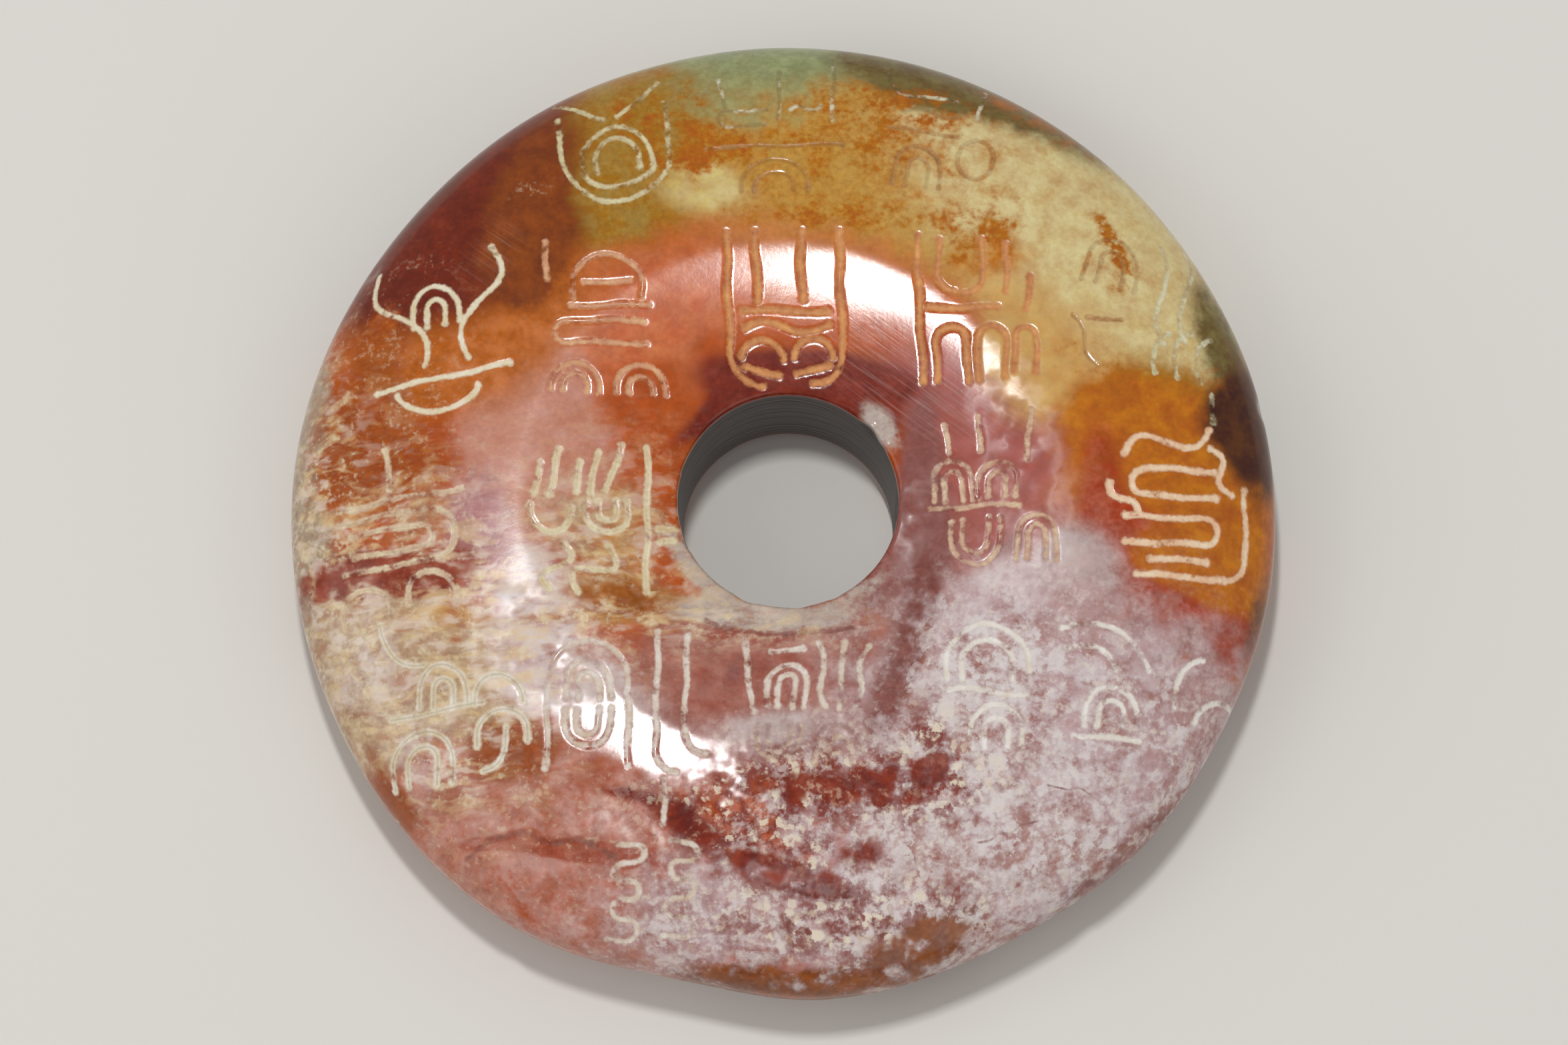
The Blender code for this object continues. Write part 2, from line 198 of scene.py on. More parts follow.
# How a hand drifts as it cuts, along x, along y and in the width of the cut: waves over the disc, each with
# its size, its radians per mm along x and y, and where it starts
WAVER_X = ((0.06, 0.9, 1.7, 0.0),)
WAVER_Y = ((0.06, 1.5, -1.1, 2.0),)
WIDTH_WAVER = ((0.08, 2.1, 1.3, 0.0), (0.05, -3.7, 4.3, 0.0))


def drift_at(x, y, waves):
    """The sum of waves over the disc at each point."""
    return sum(size * np.sin(along_x * x + along_y * y + start) for size, along_x, along_y, start in waves)


def line(x0, y0, x1, y1):
    """A straight stroke."""
    return [(x0, y0), (x1, y1)]


def arc(x, y, rx, ry, start, end):
    """A stretch of an ellipse, from one angle to another in degrees."""
    steps = max(2, math.ceil(abs(end - start) / ARC_STEP))
    turns = [math.radians(start + (end - start) * i / steps) for i in range(steps + 1)]
    return [(x + rx * math.cos(t), y + ry * math.sin(t)) for t in turns]


def arch(x, y, width, height):
    """Two legs under a round top, the top's highest point at y."""
    rise = min(height, width / 2)
    over = arc(x, y - rise, width / 2, rise, 180, 0)
    return [(x - width / 2, y - height)] + over + [(x + width / 2, y - height)]


def cup(x, y, width, height):
    """An arch turned over, its lowest point at y."""
    return [(px, 2 * y - py) for px, py in arch(x, y, width, height)]


def hairpin(x, y, width, height):
    """An arch on its side, its closed end at x; a negative width closes it on the left."""
    turned = arch(0, 0, height, abs(width))
    return [(x + math.copysign(1, width) * py, y + px) for px, py in turned]


def wave(x0, y0, x1, y1, swing):
    """One full S between two points, swinging to the side by swing."""
    dx, dy = x1 - x0, y1 - y0
    length = math.hypot(dx, dy)
    points = []
    for i in range(WAVE_STEPS + 1):
        t = i / WAVE_STEPS
        side = swing * math.sin(2 * math.pi * t) / length
        points.append((x0 + dx * t - dy * side, y0 + dy * t + dx * side))
    return points


def hook(x, y0, y1, reach):
    """A post down from y0 that ends at y1 in a quarter round, to the side that reach points to."""
    radius = abs(reach)
    start, end = (180, 270) if reach > 0 else (0, -90)
    return [(x, y0)] + arc(x + reach, y1 + radius, radius, radius, start, end)


def nested(shape, x, y, width, height, gap):
    """An arch or a cup with a smaller one inside it, a gap in from it all round."""
    inward = -gap if shape is arch else gap
    return shape(x, y, width, height), shape(x, y + inward, width - 2 * gap, height - gap)


def meander(x, y, width, height, runs):
    """One line snaking down from y in level runs, each bend a half round."""
    pitch = height / (runs - 1)
    points = [(x - width / 2, y)]
    for run in range(runs - 1):
        side = 1 if run % 2 == 0 else -1
        points += arc(x + side * (width - pitch) / 2, y - (run + 0.5) * pitch, pitch / 2, pitch / 2,
                      90, 90 - 180 * side)
    return points + [(x - side * width / 2, y - height)]


# How a row of strokes was cut and what fills it: half width, depth, fill colour, how full, how dark its core
CUTS = {
    "bold cream": (0.14, 0.035, "E4D6B6", 0.95, 0.0),
    "cream": (0.15, 0.030, "D8BE9C", 0.74, 0.1),
    "tan": (0.13, 0.045, "D4B294", 0.72, 0.0),
    "yellow": (0.155, 0.035, "DECCA4", 0.78, 0.1),
    "peach": (0.16, 0.055, "EBC9A6", 0.90, 0.0),
    "open": (0.165, 0.10, "CE8A50", 0.90, 0.0),
    "half open": (0.14, 0.06, "D49C72", 0.72, 0.0),
    "worn": (0.13, 0.025, "CFC296", 0.70, 0.0),
    "faint": (0.11, 0.02, "D6D0B0", 0.50, 0.0),
    "rusty": (0.12, 0.03, "B07A3C", 0.55, 0.0),
    "green": (0.13, 0.04, "D8D2AC", 0.60, 0.0),
    "cored": (0.16, 0.035, "E0D2B8", 0.80, 0.25),
    "mauve": (0.14, 0.035, "DCCCBC", 0.72, 0.0),
    "white": (0.14, 0.05, "E8E0D6", 0.74, 0.0),
    "chalky": (0.13, 0.02, "D8BEA4", 0.50, 0.0),
    "brown line": (0.12, 0.01, "8E564A", 0.58, 0.0),
    "brown seam": (0.14, 0.01, "8C5444", 0.60, 0.0),
    "hairline": (0.05, 0.015, "86605A", 0.50, 0.0),
}

# The rows of strokes: place from the disc's middle, turn in degrees, cut, and the strokes about the place
SIGNS = (
    ("top_left", (-9.6, 20.7), 8, "worn", (
        cup(0, -3.4, 6.2, 6), *nested(arch, 0, 1.4, 3.9, 2.8, 0.75), cup(0, -2.4, 3.9, 0.9),
        line(-3, 3.8, -0.5, 2.1), line(3, 4, 0.4, 2.1),
    )),
    ("top_middle", (-0.6, 21.5), 0, "faint", (
        line(-3.2, 3.6, -2.7, 1.7), hairpin(-3.1, 1, -2.7, 1), line(0.4, 4.2, 0.3, 0.9),
        line(3.5, 4.6, 3.4, 0.8), wave(1, 1.5, 2.8, 1.8, 0.2),
    )),
    ("top_middle_lower", (-0.6, 21.5), 0, "rusty", (
        line(-3.8, -0.9, 4, -0.7), *nested(arch, 0.1, -1.6, 3.8, 2, 0.8),
    )),
    ("top_right", (8.6, 21.1), -8, "faint", (
        hook(-3, 4.4, 2.9, 1), line(-1.7, 2.8, 1, 2.9), line(2.4, 4, 2.3, 1.9),
    )),
    ("top_right_lower", (8.6, 21.1), -8, "rusty", (
        wave(-2, 1.7, 1.2, 1.9, 0.2), line(-2.6, 0.5, 1.3, 0.5), *nested(arch, -0.7, -0.5, 2.6, 2.5, 0.7),
        arch(2.5, 0.4, 1.9, 1), cup(2.5, -2, 1.9, 1.2),
    )),
    ("second_far_left", (-19.5, 9.8), 6, "bold cream", (
        wave(-3.4, 4.2, -1.1, -2.1, -0.8), wave(3.4, 4.7, 1.5, -1.9, 0.8),
        *nested(arch, -0.2, 2.7, 2.6, 2.4, 0.8), line(-3.9, -3.3, 3.8, -2.6), cup(-0.5, -4.9, 4.6, 1.2),
    )),
    ("second_left", (-9.8, 10.1), 0, "half open", (
        line(-3.8, 4.8, -3.6, 2.6), arch(-0.2, 4, 3.9, 2.6), line(-1.5, 2.3, 1.1, 2.4),
        line(-2.3, 0.9, 2.2, 1), hairpin(-3.1, -0.6, -5, 1.3), *nested(arch, -2, -2.5, 2.6, 1.6, 0.65),
        *nested(arch, 1.6, -2.5, 2.8, 1.6, 0.7),
    )),
    ("second_middle", (0, 10.6), 0, "open", (
        hook(-3.2, 4.8, -3.9, 1.8), line(-1.6, 4.8, -1.5, 0.8), line(1, 4.9, 1, 0.9),
        hook(3.2, 4.8, -3.8, -1.8), line(-2.3, 0.3, 2.3, 0.2), wave(-2.4, -0.7, 2.4, -0.6, 0.28),
        arch(-1.4, -1.4, 2.3, 1), arch(1.5, -1.3, 2.3, 1), line(-2.4, -2.9, -0.5, -3.3),
        line(0.5, -3.3, 2.4, -2.8),
    )),
    ("second_right", (10.7, 10.6), 0, "open", (
        line(-3.1, 4.6, -2.9, -3.9), hook(-1.9, 4.4, 1.3, 0.9), hook(0.6, 4.4, 1.2, -0.9),
        line(2, 4.2, 1.9, 1.2), line(-2.6, 0.3, 1.5, 0.3), arch(-1.2, -0.8, 1.8, 3.1),
        arch(1.1, -0.8, 1.6, 3), arch(3, -0.8, 1.2, 2.7), line(3.3, 2.2, 3.1, 0.3),
    )),
    ("second_far_right", (20.8, 10.9), -12, "green", (
        wave(-0.1, 4.4, 1.2, -1.6, 0.4), wave(1.3, 4.6, 2.4, -1.2, 0.4), arc(1.6, -2.4, 0.9, 1.5, 100, 230),
        arc(2.8, -2.2, 0.9, 1.6, 100, 235), arc(4, -2, 0.8, 1.5, 110, 240), line(4.4, -4, 4.9, -5.6),
    )),
    ("second_far_right_inner", (20.8, 10.9), -12, "rusty", (
        *nested(arch, -2.6, 3.9, 3, 2.9, 0.8), wave(-4.2, -1.3, -2.2, -4, 0.2),
        line(-3.4, -1.2, -1.4, -0.9),
    )),
    ("third_far_left", (-21.6, -2.3), 8, "cream", (
        line(-0.2, 5, -0.2, 2.7), line(-3.9, 2, 3.8, 2), hairpin(3.2, -0.3, 6.6, 3),
        hairpin(1.9, -0.3, 4.6, 1.3), arch(-2.4, -2.8, 2.7, 1.9), arch(1.4, -2.5, 2.9, 1.6),
        line(-3.3, -5.2, -1.3, -5.1),
    )),
    ("third_left", (-10.5, -1.4), 0, "yellow", (
        line(-3.2, 3.2, -3.6, 1.4), line(-2.2, 4, -2.7, 1.2), line(-1, 3.2, -1.3, 1.5),
        line(-0.1, 3.8, -0.5, 1.5), line(1.2, 4.4, 0.4, 1.8), line(2.6, 4.3, 2.6, -4.3),
        cup(-2.6, -0.9, 2.2, 1.5), *nested(cup, 0.4, -0.8, 2.3, 1.9, 0.65), line(3.2, -0.4, 4.2, -0.4),
        line(3.2, -1.2, 4, -1.1), wave(-1.9, -1.6, -2.6, -4.3, 0.6), wave(0.6, -1.6, -1, -4.4, 0.9),
    )),
    ("third_right", (11.5, -0.1), 0, "tan", (
        line(-2.6, 4.3, -2.3, 2.6), line(-0.5, 4.6, -0.5, 2.7), line(2.5, 5, 2.2, 2),
        *nested(arch, -2.1, 2.1, 2.3, 2.2, 0.6), *nested(arch, 0.5, 2, 2.2, 2.1, 0.6),
        line(-3.4, -0.5, 1.8, -0.6), *nested(cup, -0.8, -4, 2.8, 2.7, 0.65),
        *nested(arch, 2.7, -1.2, 2.2, 2.6, 0.6),
    )),
    ("third_far_right", (22.6, -0.4), 0, "peach", (
        wave(-3.4, 2.7, 1.5, 4.3, 0.75), wave(1.5, 3.3, 2.8, 0.6, 0.4), hairpin(-3, 1.1, -4.8, 1.6),
        wave(-4.2, 1, -2.6, -0.9, -0.3), hairpin(1.9, -1.7, 5.3, 1.5), hook(3.5, 1, -4.4, -1.3),
        line(-2.7, -4.3, 1.9, -4.4), line(-1.9, -3.4, 1.2, -3.4),
    )),
    ("fourth_far_left", (-18.8, -11.8), 4, "cored", (
        arc(-1.4, 4.5, 2.1, 2.6, 180, 275), *nested(arch, -0.2, 1.9, 2.6, 2.3, 0.75),
        line(-3.2, -0.9, 1.9, -0.5), *nested(arch, -1.5, -1.7, 3.3, 2.9, 0.85), arch(2.9, 1, 2.8, 1.6),
        arch(3, -0.9, 2.7, 1.9), hook(3.2, -2, -4.3, -1.4),
    )),
    ("fourth_left", (-10, -12.4), 0, "mauve", (
        arch(-0.9, 3.7, 4.5, 7.2), *nested(arch, -0.9, 2.6, 2.5, 2.2, 0.65),
        *nested(cup, -0.9, -2.4, 2.5, 2.2, 0.65), hook(2.9, 4.4, -3.8, 1.2), hook(4.5, 4.3, -2.8, 1.2),
    )),
    ("fourth_middle", (0.9, -12), 0, "mauve", (
        line(-3.3, 3.6, -2.6, -0.8), line(-1.8, 3, 0.1, 3.1), *nested(arch, -0.8, 2.1, 2.1, 2.5, 0.6),
        wave(0.9, 3.4, 1.4, -0.4, 0.25), line(2.3, 3.5, 2.2, -0.6), wave(3.7, 3.3, 3, -0.4, -0.25),
    )),
    ("fourth_middle_lower", (0.9, -12), 0, "chalky", (
        *nested(cup, -1.2, -3.4, 2.4, 1.9, 0.6), *nested(arch, 2.2, -1.5, 2.6, 2.2, 0.65),
    )),
    ("fourth_right", (11.4, -11.5), 0, "white", (
        *nested(arch, 0, 3.8, 4.6, 3.2, 0.9), wave(-2.2, 0, 2.2, -0.2, 0.2),
        *nested(arch, 0.5, -0.9, 2.8, 2.4, 0.75),
    )),
    ("fourth_far_right", (18.1, -11.4), 0, "white", (
        arc(-1, -0.2, 3.6, 4, 20, 115), arc(-1.4, -0.2, 2.4, 2.7, 30, 110),
        *nested(arch, 0.2, 0.2, 2.9, 2.2, 0.75), line(-1.9, -2.6, 1.8, -2.8),
    )),
    ("fourth_edge", (23.4, -11), 0, "white", (
        arc(0.6, -0.6, 2, 2.2, 100, 195), arc(1.4, -2.2, 1.6, 1.5, 60, 170),
    )),
    ("fifth_left", (-7.2, -23.6), -6, "mauve", (
        line(-0.2, 7, 0.1, 4.4), meander(-1.6, 3.2, 1.5, 5.2, 6), meander(1.4, 3.6, 1.5, 5.4, 6),
    )),
    ("fifth_middle", (3.2, -24.8), 6, "chalky", (
        arch(-1.9, 1.1, 2.2, 1.6), line(-1.9, 0.3, -1.9, -0.6), cup(1.7, -0.6, 2.2, 1.5),
    )),
)


def colour(hex_value):
    """An sRGB hex colour in the linear values that Blender works in."""
    shares = [int(hex_value[i:i + 2], 16) / 255 for i in (0, 2, 4)]
    return tuple(s / 12.92 if s <= 0.04045 else ((s + 0.055) / 1.055) ** 2.4 for s in shares) + (1.0,)


def even_steps(route, step):
    """The same route with points a step apart."""
    way = np.concatenate(([0.0], np.cumsum(np.hypot(*np.diff(route, axis=0).T))))
    stops = np.linspace(0, way[-1], max(2, round(way[-1] / step) + 1))
    return np.stack([np.interp(stops, way, route[:, i]) for i in (0, 1)], 1)


def on_front(points, place, turn):
    """A stroke in its place on the front laid out flat, with the waver of a hand-held tool."""
    x, y = np.array(points).T
    cosine, sine = math.cos(math.radians(turn)), math.sin(math.radians(turn))
    disc_x = place[0] + x * cosine - y * sine
    disc_y = place[1] + x * sine + y * cosine
    route = even_steps(np.stack((disc_x, disc_y), 1), STROKE_STEP)
    disc_x, disc_y = route.T
    return FRONT.laid_flat(disc_x + drift_at(*route.T, WAVER_X), disc_y + drift_at(*route.T, WAVER_Y))


strokes = [
    (on_front(points, place, turn), *CUTS[cut])
    for _, place, turn, cut, group in SIGNS
    for points in group
]

# The stone's own seams and cracks, which lie in the skin as the strokes do
SEAMS = (
    ("brown seam", ((-17.4, -20.4), (-16.4, -19.6), (-14.2, -19.4), (-12.6, -19.9), (-11.4, -19.8),
                    (-9.4, -20.8))),
    ("brown line", ((-4.6, -7.2), (-3.4, -7.7), (-1.4, -8.0), (0.6, -7.85), (2.4, -7.9), (3.6, -7.6))),
    ("hairline", ((10.8, -20.2), (11.5, -20.0), (12.0, -19.6), (12.8, -19.5), (13.3, -19.1), (14.2, -18.9))),
    ("hairline", ((14.8, -16.8), (15.9, -17.1), (16.6, -17.0), (17.6, -17.5))),
)
strokes += [(on_front(points, (0.0, 0.0), 0), *CUTS[cut]) for cut, points in SEAMS]

# The skin: points lie close together along the strokes, the crust and the bore's rim, and wider elsewhere.
# Both faces are laid out flat to be covered with triangles, then go back to the stone's shape.
STEPS_EDGE = 480
STEPS_BORE = 240
STEPS_WALL = 28
PLAIN_SPACING = 0.36
GRAIN_SPACING = 0.15
BACK_SPACING = 0.62
STROKE_GAP = 0.058
STROKE_CLEARANCE = 0.42
FIELD_CLEARANCE = 0.15
EDGE_CLEARANCE = 0.35
FIELD_SHAKE = 0.16
FIELD_MARGIN = 0.8
NEAR_STROKE = 1.0

# Rows of points beside a stroke, in half widths from its middle, and rings round the bore and inside the edge
ACROSS = (0.0, 0.6, 1.1, 1.7, 2.4)
FRONT_RIM_RINGS = (0.07, 0.14, 0.21, 0.29, 0.38, 0.48, 0.6, 0.74, 0.92)
BACK_RIM_RINGS = (0.15, 0.35)
FRONT_EDGE_RING = 0.25
BACK_EDGE_RING = 0.3
dice = np.random.default_rng(7)

# Where burial left a mineral crust: middle, half length, half width, turn in degrees, strength
CRUST_SPOTS = (
    (12.5, -9.5, 5, 4, 0, 0.8), (14.5, -14, 8, 5, -10, 0.9), (10, -20.5, 9, 4, 15, 1.1),
    (4, -25, 9, 2.8, 5, 1), (20, -15.6, 5.6, 3.8, 48, 0.55), (-5, -24, 3.5, 2.8, 0, 0.6),
    (1.5, -15, 3.5, 1.2, 0, 0.5), (4, -19, 3.5, 2, 0, 0.7),
)

# Where the crust is coarse, grown as separate grains with the stained stone between them. The skin's points
# lie close together from GRAIN_FIELD_FROM on.
GRAIN_FIELD_FROM = 0.25
GRAIN_SPOTS = (
    (1.8, -16.9, 7, 1.7, 3, 1), (9, -17.4, 3, 1.4, 12, 0.5), (0, -21.2, 5, 2, -12, 0.8),
    (8, -23.6, 5, 1.2, 14, 0.5), (7.8, -14.6, 2.4, 1.4, 65, 0.8), (1, -25, 6, 1.3, 2, 0.6),
)


def covered(spots, x, y):
    """How strongly spots cover each point: strength in a spot's middle, half of it at its edge."""
    total = np.zeros(len(x))
    for middle_x, middle_y, half_length, half_width, turn, strength in spots:
        cosine, sine = math.cos(math.radians(turn)), math.sin(math.radians(turn))
        along = ((x - middle_x) * cosine + (y - middle_y) * sine) / half_length
        aside = ((y - middle_y) * cosine - (x - middle_x) * sine) / half_width
        total += strength * np.exp(-math.log(2) * (along ** 2 + aside ** 2))
    return total


def circle(radius, steps, turn=0.0):
    """Points round a circle, turned by a share of the step between two."""
    angles = (np.arange(steps) + turn) * 2 * math.pi / steps
    return np.stack((radius * np.cos(angles), radius * np.sin(angles)), 1)


def rim_rings(face, ways_in):
    """Rings round the bore, some way in on a face laid flat, every other one turned by half a step."""
    return [circle(face.flat[0] + way, STEPS_BORE, 0.5 * (i % 2 == 0)) for i, way in enumerate(ways_in)]


def scattered(face, spacing):
    """Points all over a face laid flat, in a honeycomb shaken a little out of true."""
    rows = math.ceil(face.flat[-1] / (spacing * math.sqrt(3) / 2))
    columns = math.ceil(face.flat[-1] / spacing)
    column, row = np.meshgrid(np.arange(-columns, columns + 1), np.arange(-rows, rows + 1))
    points = np.stack((column + 0.5 * (row % 2), row * math.sqrt(3) / 2), -1).reshape(-1, 2) * spacing
    points += dice.uniform(-FIELD_SHAKE, FIELD_SHAKE, points.shape) * spacing
    away = np.hypot(points[:, 0], points[:, 1])
    margin = spacing * FIELD_MARGIN
    return points[(away > face.flat[0] + margin) & (away < face.flat[-1] - margin)]


def thinned(points, gap):
    """Drops each point that lies closer than gap to one before it."""
    kept, cells = [], {}
    for number, (x, y) in enumerate(points.tolist()):
        cell_x, cell_y = int(x // gap), int(y // gap)
        near = (
            other
            for i in (cell_x - 1, cell_x, cell_x + 1)
            for j in (cell_y - 1, cell_y, cell_y + 1)
            for other in cells.get((i, j), ())
        )
        if all((x - a) ** 2 + (y - b) ** 2 > gap * gap for a, b in near):
            cells.setdefault((cell_x, cell_y), []).append((x, y))
            kept.append(number)
    return points[kept]


def stroke_points():
    """Points in rows along every stroke, and around its two ends."""
    found = []
    for route, half_width, *_ in strokes:
        ahead = np.gradient(route, axis=0)
        ahead /= np.hypot(*ahead.T)[:, None]
        aside = np.stack((-ahead[:, 1], ahead[:, 0]), 1)
        for share in ACROSS:
            for side in (1, -1) if share else (1,):
                found.append(route + aside * (side * share * half_width))
        for end in (route[0], route[-1]):
            for share in ACROSS[1:]:
                found.append(end + circle(share * half_width * BEAD_SWELL, 6 + round(8 * share)))
    return np.concatenate(found)


def beside(points, route):
    """The numbers of the points that lie in a route's box or near it."""
    low, high = route.min(0) - NEAR_STROKE, route.max(0) + NEAR_STROKE
    return np.flatnonzero(((points > low) & (points < high)).all(1))


def distance_to_strokes(points):
    """Each point's distance to the nearest stroke, NEAR_STROKE where none is near."""
    nearest = np.full(len(points), NEAR_STROKE)
    for route, *_ in strokes:
        near = beside(points, route)
        if len(near):
            nearest[near] = np.minimum(nearest[near], distance_to_route(points[near], route))
    return nearest


def triangles(points, inner_steps, outer_steps):
    """Covers a flat ring of points whose first ones are its inner and outer rims."""
    rims = [(i, (i + 1) % inner_steps) for i in range(inner_steps)]
    rims += [(inner_steps + i, inner_steps + (i + 1) % outer_steps) for i in range(outer_steps)]
    cover = delaunay_2d_cdt([Vector(p) for p in points.tolist()], rims, [], 0, 1e-6)
    order = [numbers[0] for numbers in cover[3]]
    faces = np.array([[order[i] for i in face] for face in cover[2]])
    return faces[(faces >= inner_steps).any(1)]


grain_field = scattered(FRONT, GRAIN_SPACING)
plain_field = scattered(FRONT, PLAIN_SPACING)
grain_seen = covered(GRAIN_SPOTS, *FRONT.place(grain_field)[0][:, :2].T) > GRAIN_FIELD_FROM
plain_seen = covered(GRAIN_SPOTS, *FRONT.place(plain_field)[0][:, :2].T) <= GRAIN_FIELD_FROM
field = np.concatenate((grain_field[grain_seen], plain_field[plain_seen]))
field = field[np.hypot(*field.T) > FRONT.flat[0] + FRONT_RIM_RINGS[-1] + FIELD_CLEARANCE]
open_ground = np.concatenate((*rim_rings(FRONT, FRONT_RIM_RINGS), field))
open_ground = open_ground[distance_to_strokes(open_ground) > STROKE_CLEARANCE]
cut_ground = thinned(stroke_points(), STROKE_GAP)
cut_away = np.hypot(*cut_ground.T)
cut_ground = cut_ground[
    (cut_away > FRONT.flat[0] + FRONT_RIM_RINGS[0]) & (cut_away < FRONT.flat[-1] - EDGE_CLEARANCE)
]

front_flat = np.concatenate((
    circle(FRONT.flat[0], STEPS_BORE),
    circle(FRONT.flat[-1], STEPS_EDGE),
    circle(FRONT.flat[-1] - FRONT_EDGE_RING, STEPS_EDGE, 0.5),
    cut_ground,
    open_ground,
))
back_flat = np.concatenate((
    circle(BACK.flat[0], STEPS_BORE),
    circle(BACK.flat[-1], STEPS_EDGE),
    circle(BACK.flat[-1] - BACK_EDGE_RING, STEPS_EDGE, 0.5),
    *rim_rings(BACK, BACK_RIM_RINGS),
    scattered(BACK, BACK_SPACING),
))
front_faces = triangles(front_flat, STEPS_BORE, STEPS_EDGE)
back_faces = triangles(back_flat, STEPS_BORE, STEPS_EDGE)

front_turned, front_out = FRONT.place(front_flat)
back_turned, back_out = BACK.place(back_flat)

# The bore's wall, row by row between the two rims
wall_top, wall_bottom = front_turned[0, 2], back_turned[0, 2]
way_down = np.repeat(np.arange(1, STEPS_WALL) / STEPS_WALL, STEPS_BORE)[:, None]
around = np.tile(circle(1.0, STEPS_BORE), (STEPS_WALL - 1, 1))
wall_radius = BORE_RADIUS_FRONT + (BORE_RADIUS_BACK - BORE_RADIUS_FRONT) * way_down
wall_turned = np.hstack((wall_radius * around, wall_top + (wall_bottom - wall_top) * way_down))
wall_out = np.hstack((-around, np.zeros_like(way_down)))

# All points in one list: the front, the back without the edge that the two share, and the wall
count_front, count_back = len(front_flat), len(back_flat)
back_numbers = np.concatenate((
    count_front + np.arange(STEPS_BORE),
    STEPS_BORE + np.arange(STEPS_EDGE),
    count_front + STEPS_BORE + np.arange(count_back - STEPS_BORE - STEPS_EDGE),
))
own = np.concatenate((np.arange(STEPS_BORE), np.arange(STEPS_BORE + STEPS_EDGE, count_back)))
turned = np.concatenate((front_turned, back_turned[own], wall_turned))
outward = np.concatenate((front_out, back_out[own], wall_out))
wall_start = count_front + len(own)
ladder = np.concatenate((
    [np.arange(STEPS_BORE)],
    wall_start + np.arange(len(wall_turned)).reshape(-1, STEPS_BORE),
    [count_front + np.arange(STEPS_BORE)],
))
upper, lower = ladder[:-1], ladder[1:]
next_upper, next_lower = np.roll(upper, -1, 1), np.roll(lower, -1, 1)
wall_faces = np.concatenate((
    np.stack((upper, next_upper, lower), -1).reshape(-1, 3),
    np.stack((next_upper, next_lower, lower), -1).reshape(-1, 3),
))
faces = np.concatenate((front_faces, back_numbers[back_faces][:, ::-1], wall_faces))

# Relief. Nothing rises over the polished skin: strokes, chips and the gaps in the crust go into it. The trough
# of a stroke spreads by TROUGH_SPREAD half widths, and the way to it is kept up to STROKE_REACH of them.
STROKE_REACH = 3.0
TROUGH_SPREAD = 1.5
BEAD_DEPTH = 0.9
PLAIN_FILL = "DDC6A2"

# The crust thins out down the back's side of the edge. Its grains are mostly small, blunt on top and ragged.
CRUST_LOWEST = -4.5
GRAIN_COUNT = 5200
GRAIN_REGION = ((-7, -27), (15, -12))
GRAIN_RADIUS_LEAST = 0.12
GRAIN_RADIUS_MOST = 0.50
GRAIN_SMALLNESS = 3
GRAIN_BLUNTNESS = 0.6
GRAIN_UNEVENNESS = 0.5
GRAIN_GAP_DEPTH = 0.012
GRAIN_COVER_GAIN = 1.3
GRAIN_COVER_LEAST = 0.1
UNEVEN_SIZE = 0.35

# Flakes knocked off the rims: a point near the stone, its reach and its depth
CHIPS = (
    ((5.0, 4.6, 3.5), 1.3, 0.35),
    ((5.9, 3.4, 3.2), 0.8, 0.22),
    ((-2.4, -6.0, 3.3), 1.1, 0.12),
    ((0.6, -6.5, 3.4), 0.9, 0.08),
    ((2.8, -6.0, 3.3), 0.7, 0.10),
    ((-6.3, 2.0, 3.3), 0.6, 0.15),
    ((-6.0, -2.6, 3.3), 0.8, 0.15),
    ((-23.8, 14.2, 1.4), 1.0, 0.18),
    ((27.2, 6.0, 0.6), 0.9, 0.15),
    ((16.8, -22.2, 0.8), 1.1, 0.20),
    ((-15.0, -23.4, 0.5), 0.9, 0.15),
)

count = len(turned)
groove = np.zeros(count)
stroke_way = np.full(count, STROKE_REACH)
core = np.zeros(count)
fill_share = np.zeros(count)
fill_colour = np.tile(colour(PLAIN_FILL), (count, 1))
sink = np.zeros(count)
for route, half_width, depth, fill, full, dark in strokes:
    near = beside(front_flat, route)
    points = front_flat[near]
    apart = distance_to_route(points, route)
    ends = np.minimum(np.hypot(*(points - route[0]).T), np.hypot(*(points - route[-1]).T))
    wide = half_width * (1 + drift_at(*points.T, WIDTH_WAVER))
    bead = BEAD_DEPTH * bump(ends, TROUGH_SPREAD * BEAD_SWELL * wide)
    trough = np.maximum(bump(apart, TROUGH_SPREAD * wide), bead)
    sink[near] = np.maximum(sink[near], depth * trough)
    way = np.minimum(apart, ends / BEAD_SWELL) / wide
    nearer = way < stroke_way[near]
    fill_colour[near[nearer]] = colour(fill)
    fill_share[near[nearer]] = full
    core[near[nearer]] = dark
    stroke_way[near] = np.minimum(stroke_way[near], way)
    groove[near] = np.maximum(groove[near], np.minimum(1, trough))

